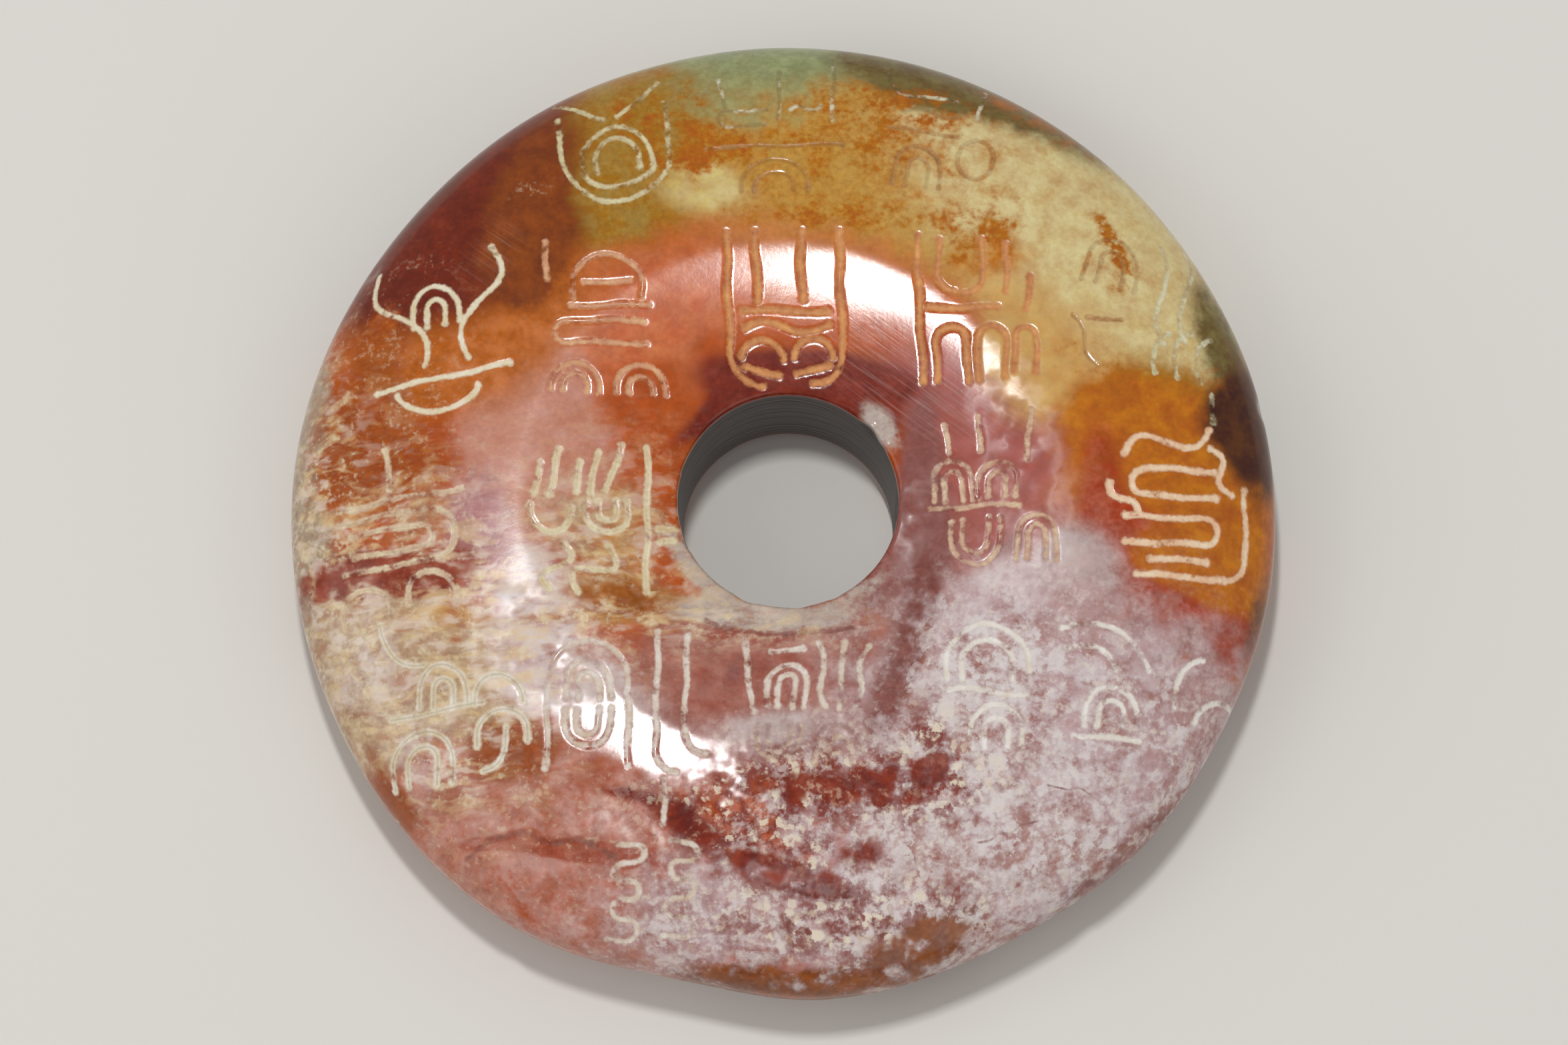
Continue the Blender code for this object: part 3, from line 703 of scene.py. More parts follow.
crust_cover = np.minimum(1, covered(CRUST_SPOTS, *turned[:, :2].T))
crust_cover *= step_up(CRUST_LOWEST, 0.0, turned[:, 2])
grain_cover = np.minimum(1, GRAIN_COVER_GAIN * covered(GRAIN_SPOTS, *turned[:, :2].T)) * (turned[:, 2] > 0)
grainy = np.flatnonzero(grain_cover > GRAIN_COVER_LEAST)
uneven = np.array([noise.noise(Vector(spot / UNEVEN_SIZE)) for spot in turned[grainy]])
grains = np.zeros(count)
for _ in range(GRAIN_COUNT):
    x, y = dice.uniform(*GRAIN_REGION)
    size = GRAIN_RADIUS_LEAST + (GRAIN_RADIUS_MOST - GRAIN_RADIUS_LEAST) * dice.random() ** GRAIN_SMALLNESS
    if dice.random() < covered(GRAIN_SPOTS, np.array([x]), np.array([y]))[0]:
        apart = np.hypot(turned[grainy, 0] - x, turned[grainy, 1] - y) * (1 + GRAIN_UNEVENNESS * uneven)
        grains[grainy] = np.maximum(grains[grainy], bump(apart, size) ** GRAIN_BLUNTNESS)
sink += GRAIN_GAP_DEPTH * grain_cover * (1 - grains) * (1 - groove)
for middle, reach, depth in CHIPS:
    apart = np.sqrt(((turned - np.array(middle)) ** 2).sum(1))
    sink += depth * bump(apart, reach)
points = as_ground(turned - outward * sink[:, None])

# The stone's own colours and the stains that burial drove into it, from the deepest to the last. Some of
# them also hold painted light: painted sheen along the crest and beside the lower highlight, and painted
# shade on the rims, round the bore's top and in the valley. Each has two colours, how far broad, middle,
# fine and streaky noise shift its edge, how soft that edge is, and its spots: middle, half length, half
# width, turn and strength.
STAINS = {
    # Partly the stone's salmon, partly painted sheen where the crest catches the lamps
    "salmon": ("CC7C58", "C06848", (1.2, 0.6, 0.2, 0), 0.35, (
        (-4.5, 12, 6.5, 2.6, 5, 0.9), (-8.5, 11, 3.5, 3, 0, 0.8), (3, 13.5, 5, 2.2, -10, 0.8),
        (-12.5, 8, 3, 4, 0, 0.6),
    )),
    # Partly the stone's pink, partly painted sheen on the crest's left
    "pink": ("CC917A", "C0887A", (1, 0.6, 0.3, 0), 0.35, (
        (-14.4, 5, 5, 2.6, 95, 1.6), (-16, 0, 3, 2.6, 90, 0.9), (-12, 2.5, 3, 2, 0, 0.6),
    )),
    # Partly the stone's rose, partly painted sheen on the crest right of the bore
    "rose": ("AE6C66", "A05A50", (1.2, 0.8, 0.3, 0.2), 0.30, (
        (9.6, 5.6, 4.5, 2.6, -15, 1), (13, 3, 4, 3.4, 0, 1), (15.6, 1, 5, 2.3, 85, 1.1),
        (12, -3, 5, 4, 0, 0.7), (15.5, -4, 3, 3, 0, 0.7),
    )),
    "celadon": ("9AA074", "8A9066", (0.9, 0.5, 0.1, 0), 0.42, (
        (-3, 26.6, 8, 3, 0, 1.6), (-1, 23.6, 4.5, 1.8, 0, 0.9), (-6.6, 24.8, 3, 1.6, -10, 0.6),
        (24.4, 9.6, 4.2, 1.7, 102, 1),
    )),
    "ochre": ("C89E5A", "B88A4C", (0.9, 0.6, 0.1, 0), 0.45, (
        (3.5, 19.5, 9.5, 3.8, -4, 1.2), (12, 15, 4.5, 2.6, -15, 1), (18, 10.5, 4.5, 3, 100, 0.9),
        (6.5, 23, 4, 1.4, -8, 0.7), (18, 6.5, 3, 2, 0, 0.6),
    )),
    "peach": ("CFA970", "CB9A62", (0.9, 0.5, 0.1, 0), 0.35, (
        (15.3, 11, 4.5, 2.6, 80, 1.3), (15, 7.6, 3, 2.2, 0, 1.1), (12.5, 13.5, 3, 2.2, 0, 0.6),
    )),
    "cream jade": ("DCCB9A", "D2B884", (0.8, 0.6, 0.1, 0), 0.48, (
        (15, 18.4, 6.6, 4.2, -28, 1.6), (19.5, 15.5, 5.5, 3.4, -50, 1.3), (22, 11.8, 4.5, 2, -78, 1.1),
        (21, 7.4, 2.5, 2, 0, 0.7), (9.6, 22, 2.2, 1.2, -10, 0.6),
    )),
    "olive": ("AC8A4C", "9C6C2C", (1, 0.5, 0.1, 0), 0.42, (
        (-9.4, 20.4, 4, 4.4, 0, 1.4), (-10.5, 23.8, 3.8, 2, 15, 1.2), (-10.4, 16.4, 3.6, 1.1, 12, 1),
        (21.8, 6.4, 2.6, 1.4, -15, 1.2),
    )),
    "cream cloud": ("D8C48E", "CCB274", (0.6, 0.7, 0.1, 0), 0.45, (
        (-4.4, 18, 2, 1.2, -10, 1.4),
    )),
    "olive rim": ("786A3E", "68502A", (0.8, 0.5, 0.2, 0), 0.35, (
        (12.8, 24.6, 7.5, 1.6, -27, 1.2), (7.6, 25.8, 4.2, 1.5, -15, 1.2), (8.2, 24, 3, 0.9, -14, 0.6),
        (25, 9, 4, 1.2, 105, 1.1),
    )),
    "orange left": ("B66636", "C0764C", (1, 0.6, 0.2, 0), 0.45, (
        (-15.6, 11.6, 3.8, 2, 10, 1), (-18.4, 9.6, 4.6, 2.6, 0, 1.6), (-20.5, 6.5, 4, 1.8, 0, 0.7),
    )),
    "maroon": ("6A2414", "782A12", (0.9, 0.5, 0.3, 0), 0.28, (
        (-18.9, 17, 7, 4.2, 52, 1.4), (-17.6, 21, 4.2, 2, 42, 1), (-18.8, 14.4, 4.8, 1.6, 8, 1),
    )),
    "brown": ("8E4719", "7B3A1A", (1, 0.6, 0.3, 0), 0.35, (
        (-14.2, 18.6, 4.4, 2, 72, 1.1), (-14.4, 14.2, 2.6, 1.8, 20, 1), (-14.4, 11.8, 1.6, 1, 10, 0.6),
    )),
    "orange right": ("B86428", "C07A3A", (1, 0.5, 0.1, 0), 0.30, (
        (21.4, 0.6, 5.2, 4.6, 95, 1.3), (18.6, 4.4, 2.2, 2, 0, 0.9), (12.2, 14, 2.6, 1.8, 10, 0.55),
        (24.6, -4.9, 5.4, 2.6, 85, 1.3),
    )),
    "red right": ("A4452F", "B0604C", (1, 0.6, 0.2, 0), 0.30, (
        (18, -1, 4.4, 1.3, 92, 1), (21.4, -7, 3.2, 1.3, -20, 1.5), (25.2, -8.6, 1.8, 1, 60, 1),
        (20.5, -1.5, 2, 1, 0, 0.5),
    )),
    # Partly a dark stain, partly painted shade where the rim turns away from the lamps
    "dark rim and shade": ("421A0C", "583014", (0.7, 0.5, 0.2, 0), 0.30, (
        (27.2, 3.8, 3.4, 1.2, 88, 1.2), (25.6, 5.2, 2.4, 1.6, 80, 1), (26.9, -6.4, 3.4, 0.7, 76, 0.7),
        (-20.5, 19, 6, 1.1, 47, 0.6),
    )),
    "rust": ("BC7834", "A65A24", (0.4, 2.4, 1.4, 0), 0.38, (
        (-5, 20.2, 2.2, 1, 10, 0.5), (3, 20.4, 10, 3.2, -2, 0.42), (6, 23.6, 4, 1.2, -10, 0.45),
        (11.4, 14.8, 2.4, 1.6, 40, 0.50), (18.7, 15.4, 1.4, 0.4, -62, 1), (19.2, 13, 1.8, 1.2, 0, 0.42),
        (17.6, 7.4, 2.4, 1.6, -20, 0.42), (3, 16.2, 7, 0.8, 0, 0.40), (-7.5, 23.2, 3, 1.6, 0, 0.36),
        (14.5, 23.2, 4, 0.8, -30, 0.34), (24, 7.4, 1.8, 0.8, -40, 0.40),
    )),
    # Partly a red stain, partly painted shade on the bore's upper rim
    "bore red and shade": ("70281E", "823A2E", (0.8, 0.6, 0.4, 0.2), 0.35, (
        (1.4, 6.8, 4.2, 1.2, -4, 2.4), (5.2, 5, 2.4, 0.7, -46, 0.9), (-4, 5.2, 2.8, 0.6, 40, 1.1),
    )),
    "bore mauve": ("8A4C44", "9C665E", (0.8, 0.6, 0.4, 0.2), 0.35, (
        (6.8, -0.6, 4.4, 0.9, 84, 1.3), (5.4, -4.6, 2.6, 1.3, 45, 1.4),
    )),
    "left ash": ("B8A58E", "9A8470", (0.8, 1, 0.5, 0.5), 0.30, (
        (-27.2, 1.6, 7, 1.2, 88, 1.2), (-26.8, 5.6, 2, 0.7, 76, 0.3), (-26.6, -5, 5.5, 1.5, 102, 1),
    )),
    "left rust": ("9A4A26", "A86038", (0.8, 1.2, 0.5, 0.5), 0.22, (
        (-23.4, 4.6, 3, 2.4, 0, 0.9), (-23, 9.2, 2.2, 1.4, 80, 0.8), (-24.6, 0.8, 2.6, 1.4, 0, 0.7),
        (-20, 1.5, 3.5, 1.5, 0, 0.5),
    )),
    "left cream": ("C4AC8C", "B08C70", (0.9, 0.8, 0.4, 0.9), 0.25, (
        (-23, -8.6, 3.8, 3, 0, 1.1), (-19, -10.4, 5.5, 3, 0, 1.1), (-23.6, -12.4, 3, 1.8, 115, 1),
        (-10.5, -2, 3.8, 4.2, 0, 0.6), (-4, -7, 5.5, 0.8, -8, 1), (-20, -1, 3.5, 1.8, 0, 0.5),
        (-17, -13, 2.5, 1, 0, 0.6),
    )),
    "left ochre": ("CCA070", "B8804E", (0.5, 0.8, 0.3, 1.4), 0.30, (
        (-18.2, -7, 4.5, 0.8, 6, 0.7), (-12, -7.1, 5, 0.7, 2, 0.9), (-9.6, -3, 3.6, 2, 80, 0.6),
        (-6, -6.4, 3, 0.6, -20, 0.8), (-24.5, -0.8, 2.5, 0.8, 0, 0.6),
    )),
    # A pale mauve that is partly painted sheen on the crest's left
    "mauve left and sheen": ("DCD0CC", "C4A2A0", (0.9, 0.7, 0.3, 0.6), 0.30, (
        (-15, -5.6, 2.6, 2, 90, 0.9), (-13.4, -9, 2.8, 1.6, 60, 0.8), (-10, -11.5, 4.4, 2.6, 0, 0.8),
    )),
    "purple left": ("A87072", "B88A88", (0.7, 0.7, 0.4, 0.3), 0.30, (
        (-17, -2.4, 3.4, 1.6, 92, 1.2), (-12.6, -4.2, 2, 1.2, 80, 0.5),
    )),
    "maroon band": ("843A2C", "9A5444", (0.5, 0.7, 0.3, 1.4), 0.32, (
        (-22.6, -4.7, 3.8, 0.9, 4, 1.8), (-24.8, -3.9, 1.6, 0.5, 8, 0.9), (-18.6, -3.7, 2.6, 0.8, 8, 0.6),
        (-21, -2.2, 3, 0.5, 6, 0.45), (-20.4, -5.3, 1.6, 0.8, 0, 0.7),
    )),
    "hazel": ("955426", "A86C42", (0.6, 0.9, 0.3, 1.3), 0.28, (
        (-8.8, -6, 3, 1, -5, 1.1), (-9.4, -3.8, 1.4, 0.7, 80, 0.5), (-13.5, -7.4, 3, 0.4, 3, 0.6),
        (1, -7.8, 4, 0.22, -3, 1),
    )),
    "wine": ("9C5C50", "A87064", (1.1, 0.8, 0.4, 0.2), 0.30, (
        (1, -10.4, 7.5, 3.4, 0, 1.2), (-4, -11.4, 3, 3, 0, 0.8), (6.6, -8.6, 4, 2, 75, 0.9),
        (-7.5, -15.5, 6, 2.2, -22, 0.7),
    )),
    "dark wine": ("925E58", "824C46", (0.8, 0.8, 0.4, 0), 0.28, (
        (7.6, 0.5, 5, 1.1, 88, 1), (7.8, -3.6, 3.6, 1.3, 78, 1.1), (6.6, -8, 3.6, 1, 72, 1),
        (5.4, -12.2, 2.4, 0.8, 60, 0.9), (4.6, -5.8, 2.4, 0.8, 30, 0.7), (-2.9, -10.6, 1.6, 0.7, 80, 0.6),
        (12.5, -3, 2, 1, 40, 0.6),
    )),
    # Partly a mauve stain, partly painted sheen on the crest below the bore
    "mauve below and sheen": ("C2B0AC", "B59C98", (0.9, 0.7, 0.3, 0), 0.30, (
        (1, -14.1, 4.5, 1.3, 0, 1), (-9.5, -12.2, 3.5, 1.8, -20, 0.6), (13.5, -6.5, 4.5, 2.2, 0, 1),
        (16.5, -4, 2, 2.4, 0, 0.7),
    )),
    "pink brown": ("B06C58", "BE8C80", (1.2, 0.9, 0.4, 0.4), 0.35, (
        (-12.6, -21.4, 7.5, 4.2, -28, 1.3), (-11.5, -18.4, 6, 1.8, -8, 1), (-5, -25, 4, 2.4, -10, 0.8),
    )),
    "orange brown": ("A35A38", "8A4A30", (0.8, 0.9, 0.4, 0.4), 0.22, (
        (-15.2, -15, 2.4, 1.4, -15, 1), (-22.2, -16.6, 3.2, 0.8, -60, 0.8),
        (-18.5, -17.4, 2, 1.2, -30, 0.6), (-13, -13.6, 1.4, 0.8, 0, 0.6),
    )),
    "red stain": ("9C4C38", "A86250", (0.5, 0.8, 0.4, 1), 0.18, (
        (-12.4, -20.3, 5, 0.4, -8, 0.9), (-9, -20.9, 3, 0.7, -12, 0.9), (-16, -19.6, 2.4, 0.3, 10, 0.7),
        (-11, -23.2, 4.5, 0.8, -20, 0.4),
    )),
    "lime haze": ("B89A9A", "A87E78", (1, 0.9, 0.5, 0), 0.35, (
        (12.5, -9.5, 5.5, 4.5, 0, 0.9), (15.5, -14, 9, 5.5, -5, 1.1), (11, -20.5, 9, 4.5, 15, 1.1),
        (5, -25, 9, 2.6, 5, 0.9), (20.4, -15.4, 6.2, 4, 48, 1), (-5, -24.2, 3.5, 2.6, 0, 0.6),
    )),
    "dark red": ("6A221A", "8C4030", (0.6, 1.2, 0.7, 0), 0.30, (
        (7.4, -16.2, 3.4, 1.1, 12, 1.3), (4.6, -17.9, 2.8, 0.6, 8, 1), (1.4, -17, 3.4, 0.9, -4, 1),
        (-5.6, -19.2, 1.6, 0.8, -42, 1.3), (-2.8, -20.8, 1.8, 0.5, -30, 0.9),
        (0.8, -22.2, 3.4, 0.8, -16, 1.5), (4.2, -20.8, 1.2, 0.8, 0, 0.9), (8.5, -13, 1.2, 0.9, 0, 0.6),
        (-8.8, -17.4, 2.6, 0.35, -14, 0.8), (-0.5, -19.2, 2.8, 1, 10, 0.5), (12.5, -22, 1.2, 0.7, 20, 0.5),
        (9.8, -17.6, 1.4, 0.6, 30, 0.5),
    )),
    # Painted shade in the valley's hollow and along the lower right rim
    "valley": ("7E4A44", "8C5A54", (0.6, 0.8, 0.4, 0), 0.28, (
        (6, -11.6, 2.8, 0.9, 72, 1.1), (7.6, -4.6, 3.4, 1, 78, 0.9), (7.2, -8.4, 2.4, 0.7, 72, 0.9),
        (18.7, -20.7, 7, 0.7, 42, 1.1),
    )),
    "amber": ("8E4C1C", "743814", (0.8, 0.9, 0.4, 0.3), 0.20, (
        (8, -25.3, 3.4, 1.2, 20, 1.3), (-0.5, -27.5, 5, 0.8, 0, 1.1),
    )),
    "bore cream": ("C6B8AE", "B09A8C", (0.4, 0.9, 0.9, 0.6), 0.34, (
        (-2.4, -6.8, 3.6, 0.7, -4, 1.2), (1.2, -6.9, 2.4, 0.5, 4, 0.9), (-4.9, -4.2, 2.8, 0.7, -48, 1.1),
        (3.8, -5.5, 2.2, 0.5, 33, 0.8), (5.2, 4.3, 1.2, 0.6, -52, 1.3),
    )),
}

# What else time has done: lime that whitens the crust, and at one spot painted glints where the crust
# sparkles, skin weathered into pale fibres, scratches, polish gone dull, and specks of lime
WEAR = {
    "whitened_and_glints": (
        (8.8, -20.4, 5.5, 2.8, 14, 1.6), (4, -24.6, 7.5, 1.5, 4, 0.8), (11.5, -9.6, 3, 2.6, 0, 1.5),
        # The spot at 9.8, -14.4 is painted glints: white where the crust sparkles
        (9.8, -14.4, 2.4, 3.2, -20, 0.9), (13, -16.5, 5, 3, 0, 0.4), (17, -19.5, 5, 2, 40, 0.4),
        (-5.6, -24.4, 2.2, 1.8, 0, 0.5), (-23.4, -9.6, 2.4, 2.2, 0, 0.6), (-20, -14.8, 1.6, 1.4, 0, 0.6),
    ),
    "fibrous": (
        (-22, -7, 8, 6, -60, 1.1), (-26.2, 1, 7, 1.6, 87, 0.8), (-16, -8, 5, 4, 0, 0.7),
        (-9, -3, 4, 4.5, 0, 0.8), (-3, -7.2, 6, 1, -4, 0.9), (-19, -14.5, 4, 3, 0, 0.6),
    ),
    "scratched": (
        (5.8, 7.4, 3.6, 1.8, -40, 1), (-16.5, 14.5, 1.6, 1, 60, 0.6), (10.5, 5.5, 3, 2, -30, 0.5),
    ),
    "dulled": (
        (4.5, -14.9, 6, 2.6, 12, 1), (11, -11, 4.5, 3, 40, 1), (0, -19.6, 8, 2.4, 0, 0.9),
        (-13.6, -8.8, 3.4, 2.6, -57, 0.8), (13.4, 2.6, 4.6, 1.9, 105, 0.7), (7.4, -1, 2.2, 1.2, 80, 0.8),
    ),
    "specked": (
        (-23.5, 4, 4, 6.5, 0, 0.8), (-12, -20, 9, 5, -20, 0.6), (0, -16, 8, 3, 0, 0.7),
        (-14.5, 18.3, 1, 0.4, 10, 0.8), (-21, 13.4, 1.8, 0.7, 20, 0.6),
    ),
}

# Where the weathered skin and the crust have worn off again, down to the stained stone. Coarse and fine noise
# make these edges ragged, and those of the dulled polish.
RAGGED_TIMES_FINER = 2.7
RAGGED_FINE_SHARE = 0.5
DULLED_EDGE = (0.1, 0.9)
BARE_EDGE = (0.3, 0.8)
BARE_MOST = 0.96
# Some of these uncover the painted shade in the valley and along the lower right rim
BARE_SPOTS = (
    (7.2, -16.2, 3.2, 0.9, 10, 1), (5.2, -17.7, 2.4, 0.5, 0, 0.9), (1.4, -17, 3.4, 0.8, -4, 0.8),
    (-5.6, -19.2, 1.5, 0.9, -42, 1.2), (0.4, -22.1, 3.6, 0.8, -16, 1.4), (4.4, -20.6, 1.3, 0.8, 0, 1),
    (8, -25.4, 2.8, 1, 20, 1.1), (-0.5, -27.6, 5, 0.9, 0, 1), (6.2, -11.6, 2.6, 0.9, 72, 0.9),
    (7.8, -4.6, 3, 1, 78, 0.8), (-22.8, -4.6, 4.2, 1, 4, 1.4), (25.4, -8.6, 1.4, 0.9, 60, 1),
    (-24, 9.4, 3.2, 1.6, 70, 0.8), (-21.6, -17.4, 3, 0.9, -60, 1.1), (18.8, -20.8, 6, 0.7, 42, 0.7),
    (-15.2, -15, 2.2, 1.2, -15, 0.7), (-8.8, -5.8, 3, 1, -5, 1),
)

# The mesh, with what each point of the stone is like kept on it for the material
pendant_mesh = bpy.data.meshes.new("carved_jade_ring")
pendant_mesh.from_pydata((points * MM).tolist(), [], faces.tolist())
pendant_mesh.shade_smooth()
on_wall = np.zeros(count)
on_wall[wall_start:] = 1.0
measures = {"stroke_way": stroke_way, "fill_share": fill_share, "core": core, "crust_cover": crust_cover,
            "grain_cover": grain_cover, "bore_wall": on_wall}
for name, spots in WEAR.items():
    measures[name] = np.minimum(1, covered(spots, *turned[:, :2].T))
ragged = np.array([
    noise.noise(Vector(spot)) + RAGGED_FINE_SHARE * noise.noise(Vector(RAGGED_TIMES_FINER * spot))
    for spot in turned
])
measures["dulled"] = step_up(*DULLED_EDGE, measures["dulled"] * (1 + ragged))
bare = step_up(*BARE_EDGE, covered(BARE_SPOTS, *turned[:, :2].T) * (1 + ragged))
for name in ("crust_cover", "grain_cover", "whitened_and_glints", "fibrous"):
    measures[name] = measures[name] * (1 - BARE_MOST * bare)
for name, (*_, spots) in STAINS.items():
    measures[name.replace(" ", "_")] = covered(spots, *turned[:, :2].T)
for name, values in measures.items():
    pendant_mesh.attributes.new(name, "FLOAT", "POINT").data.foreach_set("value", values.astype(np.float32))
fill = pendant_mesh.attributes.new("fill", "FLOAT_COLOR", "POINT")
fill.data.foreach_set("color", fill_colour.astype(np.float32).ravel())
pendant = bpy.data.objects.new("carved_jade_ring", pendant_mesh)
bpy.context.scene.collection.objects.link(pendant)

# Jade, ground and polished: hard and waxy-bright, so that it mirrors the lamps in small sharp patches, with
# fine scratches and orange peel left from years of wear. Stains run through one another in soft clouds, the
# crust is a thin polished skin of pale flakes, and the mineral in the strokes shines a little less.
BROAD_NOISE = 5.0
MIDDLE_NOISE = 1.3
FINE_NOISE = 0.34
GRIT_NOISE = 0.13
STREAK_NOISE = 0.85
THREAD_NOISE = 0.42
STREAK_STRETCH = 3.0
STREAK_RISE = 5.0
FLAKE_SIZE = 0.62
SCRATCH_WIDTH = 0.14
SCRATCH_LENGTH = 3.2
SCRATCH_FALL = 38.0

# How far noise, which lies about its middle, carries the stains' edges and tears the flakes'
NOISE_MIDDLE = (0.5, 0.5, 0.5)
FLOW_REACH = 2.0
TEAR_REACH = 0.7
jade = bpy.data.materials.new("jade, ground and polished")
jade.use_nodes = True
tree = jade.node_tree
tree.nodes.clear()


def add(kind, inputs=None, **settings):
    """Adds a node. A node given as an input stands for its first output."""
    made = tree.nodes.new("ShaderNode" + kind)
    for name, value in settings.items():
        setattr(made, name, value)
    for key, value in (inputs or {}).items():
        open_inputs = [socket for socket in made.inputs if socket.enabled]
        into = open_inputs[key] if isinstance(key, int) else next(s for s in open_inputs if s.name == key)
        if isinstance(value, bpy.types.Node):
            value = next(socket for socket in value.outputs if socket.enabled)
        if isinstance(value, bpy.types.NodeSocket):
            tree.links.new(value, into)
        else:
            into.default_value = value
    return made


place = add("VectorMath", {0: add("TexCoord").outputs["Object"], "Scale": 1 / MM}, operation="SCALE")
broad = add("TexNoise", {"Vector": place, "Scale": 1 / BROAD_NOISE, "Detail": 3.0})
drift = add("VectorMath", {0: broad.outputs["Color"], 1: NOISE_MIDDLE}, operation="SUBTRACT")
flow = add("VectorMath", {0: drift, 1: (FLOW_REACH,) * 3, 2: place}, operation="MULTIPLY_ADD")
fine = add("TexNoise", {"Vector": place, "Scale": 1 / FINE_NOISE, "Detail": 2.0, "Roughness": 0.6})
shake = add("VectorMath", {0: fine.outputs["Color"], 1: NOISE_MIDDLE}, operation="SUBTRACT")
torn = add("VectorMath", {0: shake, 1: (TEAR_REACH,) * 3, 2: flow}, operation="MULTIPLY_ADD")
along = add("Mapping", {
    "Vector": flow,
    "Rotation": (0.0, 0.0, math.radians(STREAK_RISE)),
    "Scale": (STREAK_STRETCH, 1.0, 1.0),
}, vector_type="TEXTURE")
sources = (
    broad,
    add("TexNoise", {"Vector": flow, "Scale": 1 / MIDDLE_NOISE, "Detail": 2.5, "Roughness": 0.5}),
    fine,
    add("TexNoise", {"Vector": along, "Scale": 1 / STREAK_NOISE, "Detail": 4.0, "Roughness": 0.58}),
    add("TexNoise", {"Vector": along, "Scale": 1 / THREAD_NOISE, "Detail": 1.0, "Roughness": 0.6}),
    add("TexNoise", {"Vector": place, "Scale": 1 / GRIT_NOISE, "Detail": 1.0}),
    add("TexVoronoi", {"Vector": torn, "Scale": 1 / FLAKE_SIZE}),
)
grain = sources[-1].outputs["Distance"]
split = [add("SeparateColor", {"Color": source.outputs["Color"]}).outputs for source in sources]
broad, middle, fine, streaks, threads, grit, flakes = split
measured = {name: add("Attribute", attribute_name=name).outputs["Fac"] for name in measures}

# The ground colour under every stain: burnt orange to salmon
clouds = add("MapRange", {"Value": broad[0], "From Min": 0.35, "From Max": 0.65},
             interpolation_type="SMOOTHSTEP")
skin = add("Mix", {"Factor": clouds, "A": colour("AE5430"), "B": colour("BE6A48")}, data_type="RGBA")

# The stains in turn. Noise makes each cover more or less strongly, by EDGE_SHIFT times its own amounts, so
# that its edge runs in and out, and turns its tint from the first colour to the second and back.
EDGE_SHIFT = 1.6
TINT_FINENESS = 0.5
for number, (name, (first, second, ragged, soft, _)) in enumerate(STAINS.items()):
    channel = number % 3
    edge = 1 - EDGE_SHIFT / 2 * sum(ragged)
    for source, amount in zip((broad, middle, fine, streaks), ragged):
        if amount:
            shift = EDGE_SHIFT * amount
            edge = add("Math", {0: source[channel], 1: shift, 2: edge}, operation="MULTIPLY_ADD")
    edge = add("Math", {0: edge, 1: measured[name.replace(" ", "_")]}, operation="MULTIPLY")
    share = add("MapRange", {"Value": edge, "From Min": 0.5 - soft, "From Max": 0.5 + soft},
                interpolation_type="SMOOTHSTEP")
    other = middle[(channel + 1) % 3]
    turn = add("Math", {0: fine[channel], 1: TINT_FINENESS, 2: other}, operation="MULTIPLY_ADD")
    turn = add("MapRange", {"Value": turn, "From Min": 0.58, "From Max": 0.92})
    tint = add("Mix", {"Factor": turn, "A": colour(first), "B": colour(second)}, data_type="RGBA")
    skin = add("Mix", {"Factor": share, "A": skin, "B": tint}, data_type="RGBA")

# Patterns in the skin, each a sum of noises times their amounts
PATTERNS = {
    "mottle": ((fine[2], 0.4), (middle[2], 0.5), (grit[2], 0.1)),
    "strata": ((streaks[1], 0.50), (threads[2], 0.25), (middle[0], 0.25)),
    "other strata": ((streaks[2], 0.45), (threads[0], 0.20), (middle[2], 0.35)),
    "patches": ((broad[1], 0.60), (middle[1], 0.40)),
    "clumps": ((middle[0], 0.56), (fine[1], 0.34), (flakes[0], 0.10)),
    "other clumps": ((middle[1], 0.48), (fine[2], 0.36), (flakes[1], 0.16)),
    "gaps": ((middle[2], 0.58), (fine[0], 0.34), (flakes[2], 0.08)),
    "flecks": ((fine[1], 0.55), (grit[1], 0.05), (middle[0], 0.40)),
    "grains": ((grain, -0.6), (flakes[2], 0.45), (fine[0], 0.35), (middle[0], 0.6)),
}
pattern = {}
for name, parts in PATTERNS.items():
    pattern[name] = 0.0
    for value, amount in parts:
        pattern[name] = add("Math", {0: value, 1: amount, 2: pattern[name]}, operation="MULTIPLY_ADD")
contrast = add("MapRange", {"Value": pattern["mottle"], "From Min": 0.34, "From Max": 0.66})
skin = add("HueSaturation", {"Saturation": 1.10, "Color": skin})
skin = add("Mix", {"Factor": 0.2, "A": skin, "B": contrast}, data_type="RGBA", blend_type="OVERLAY")

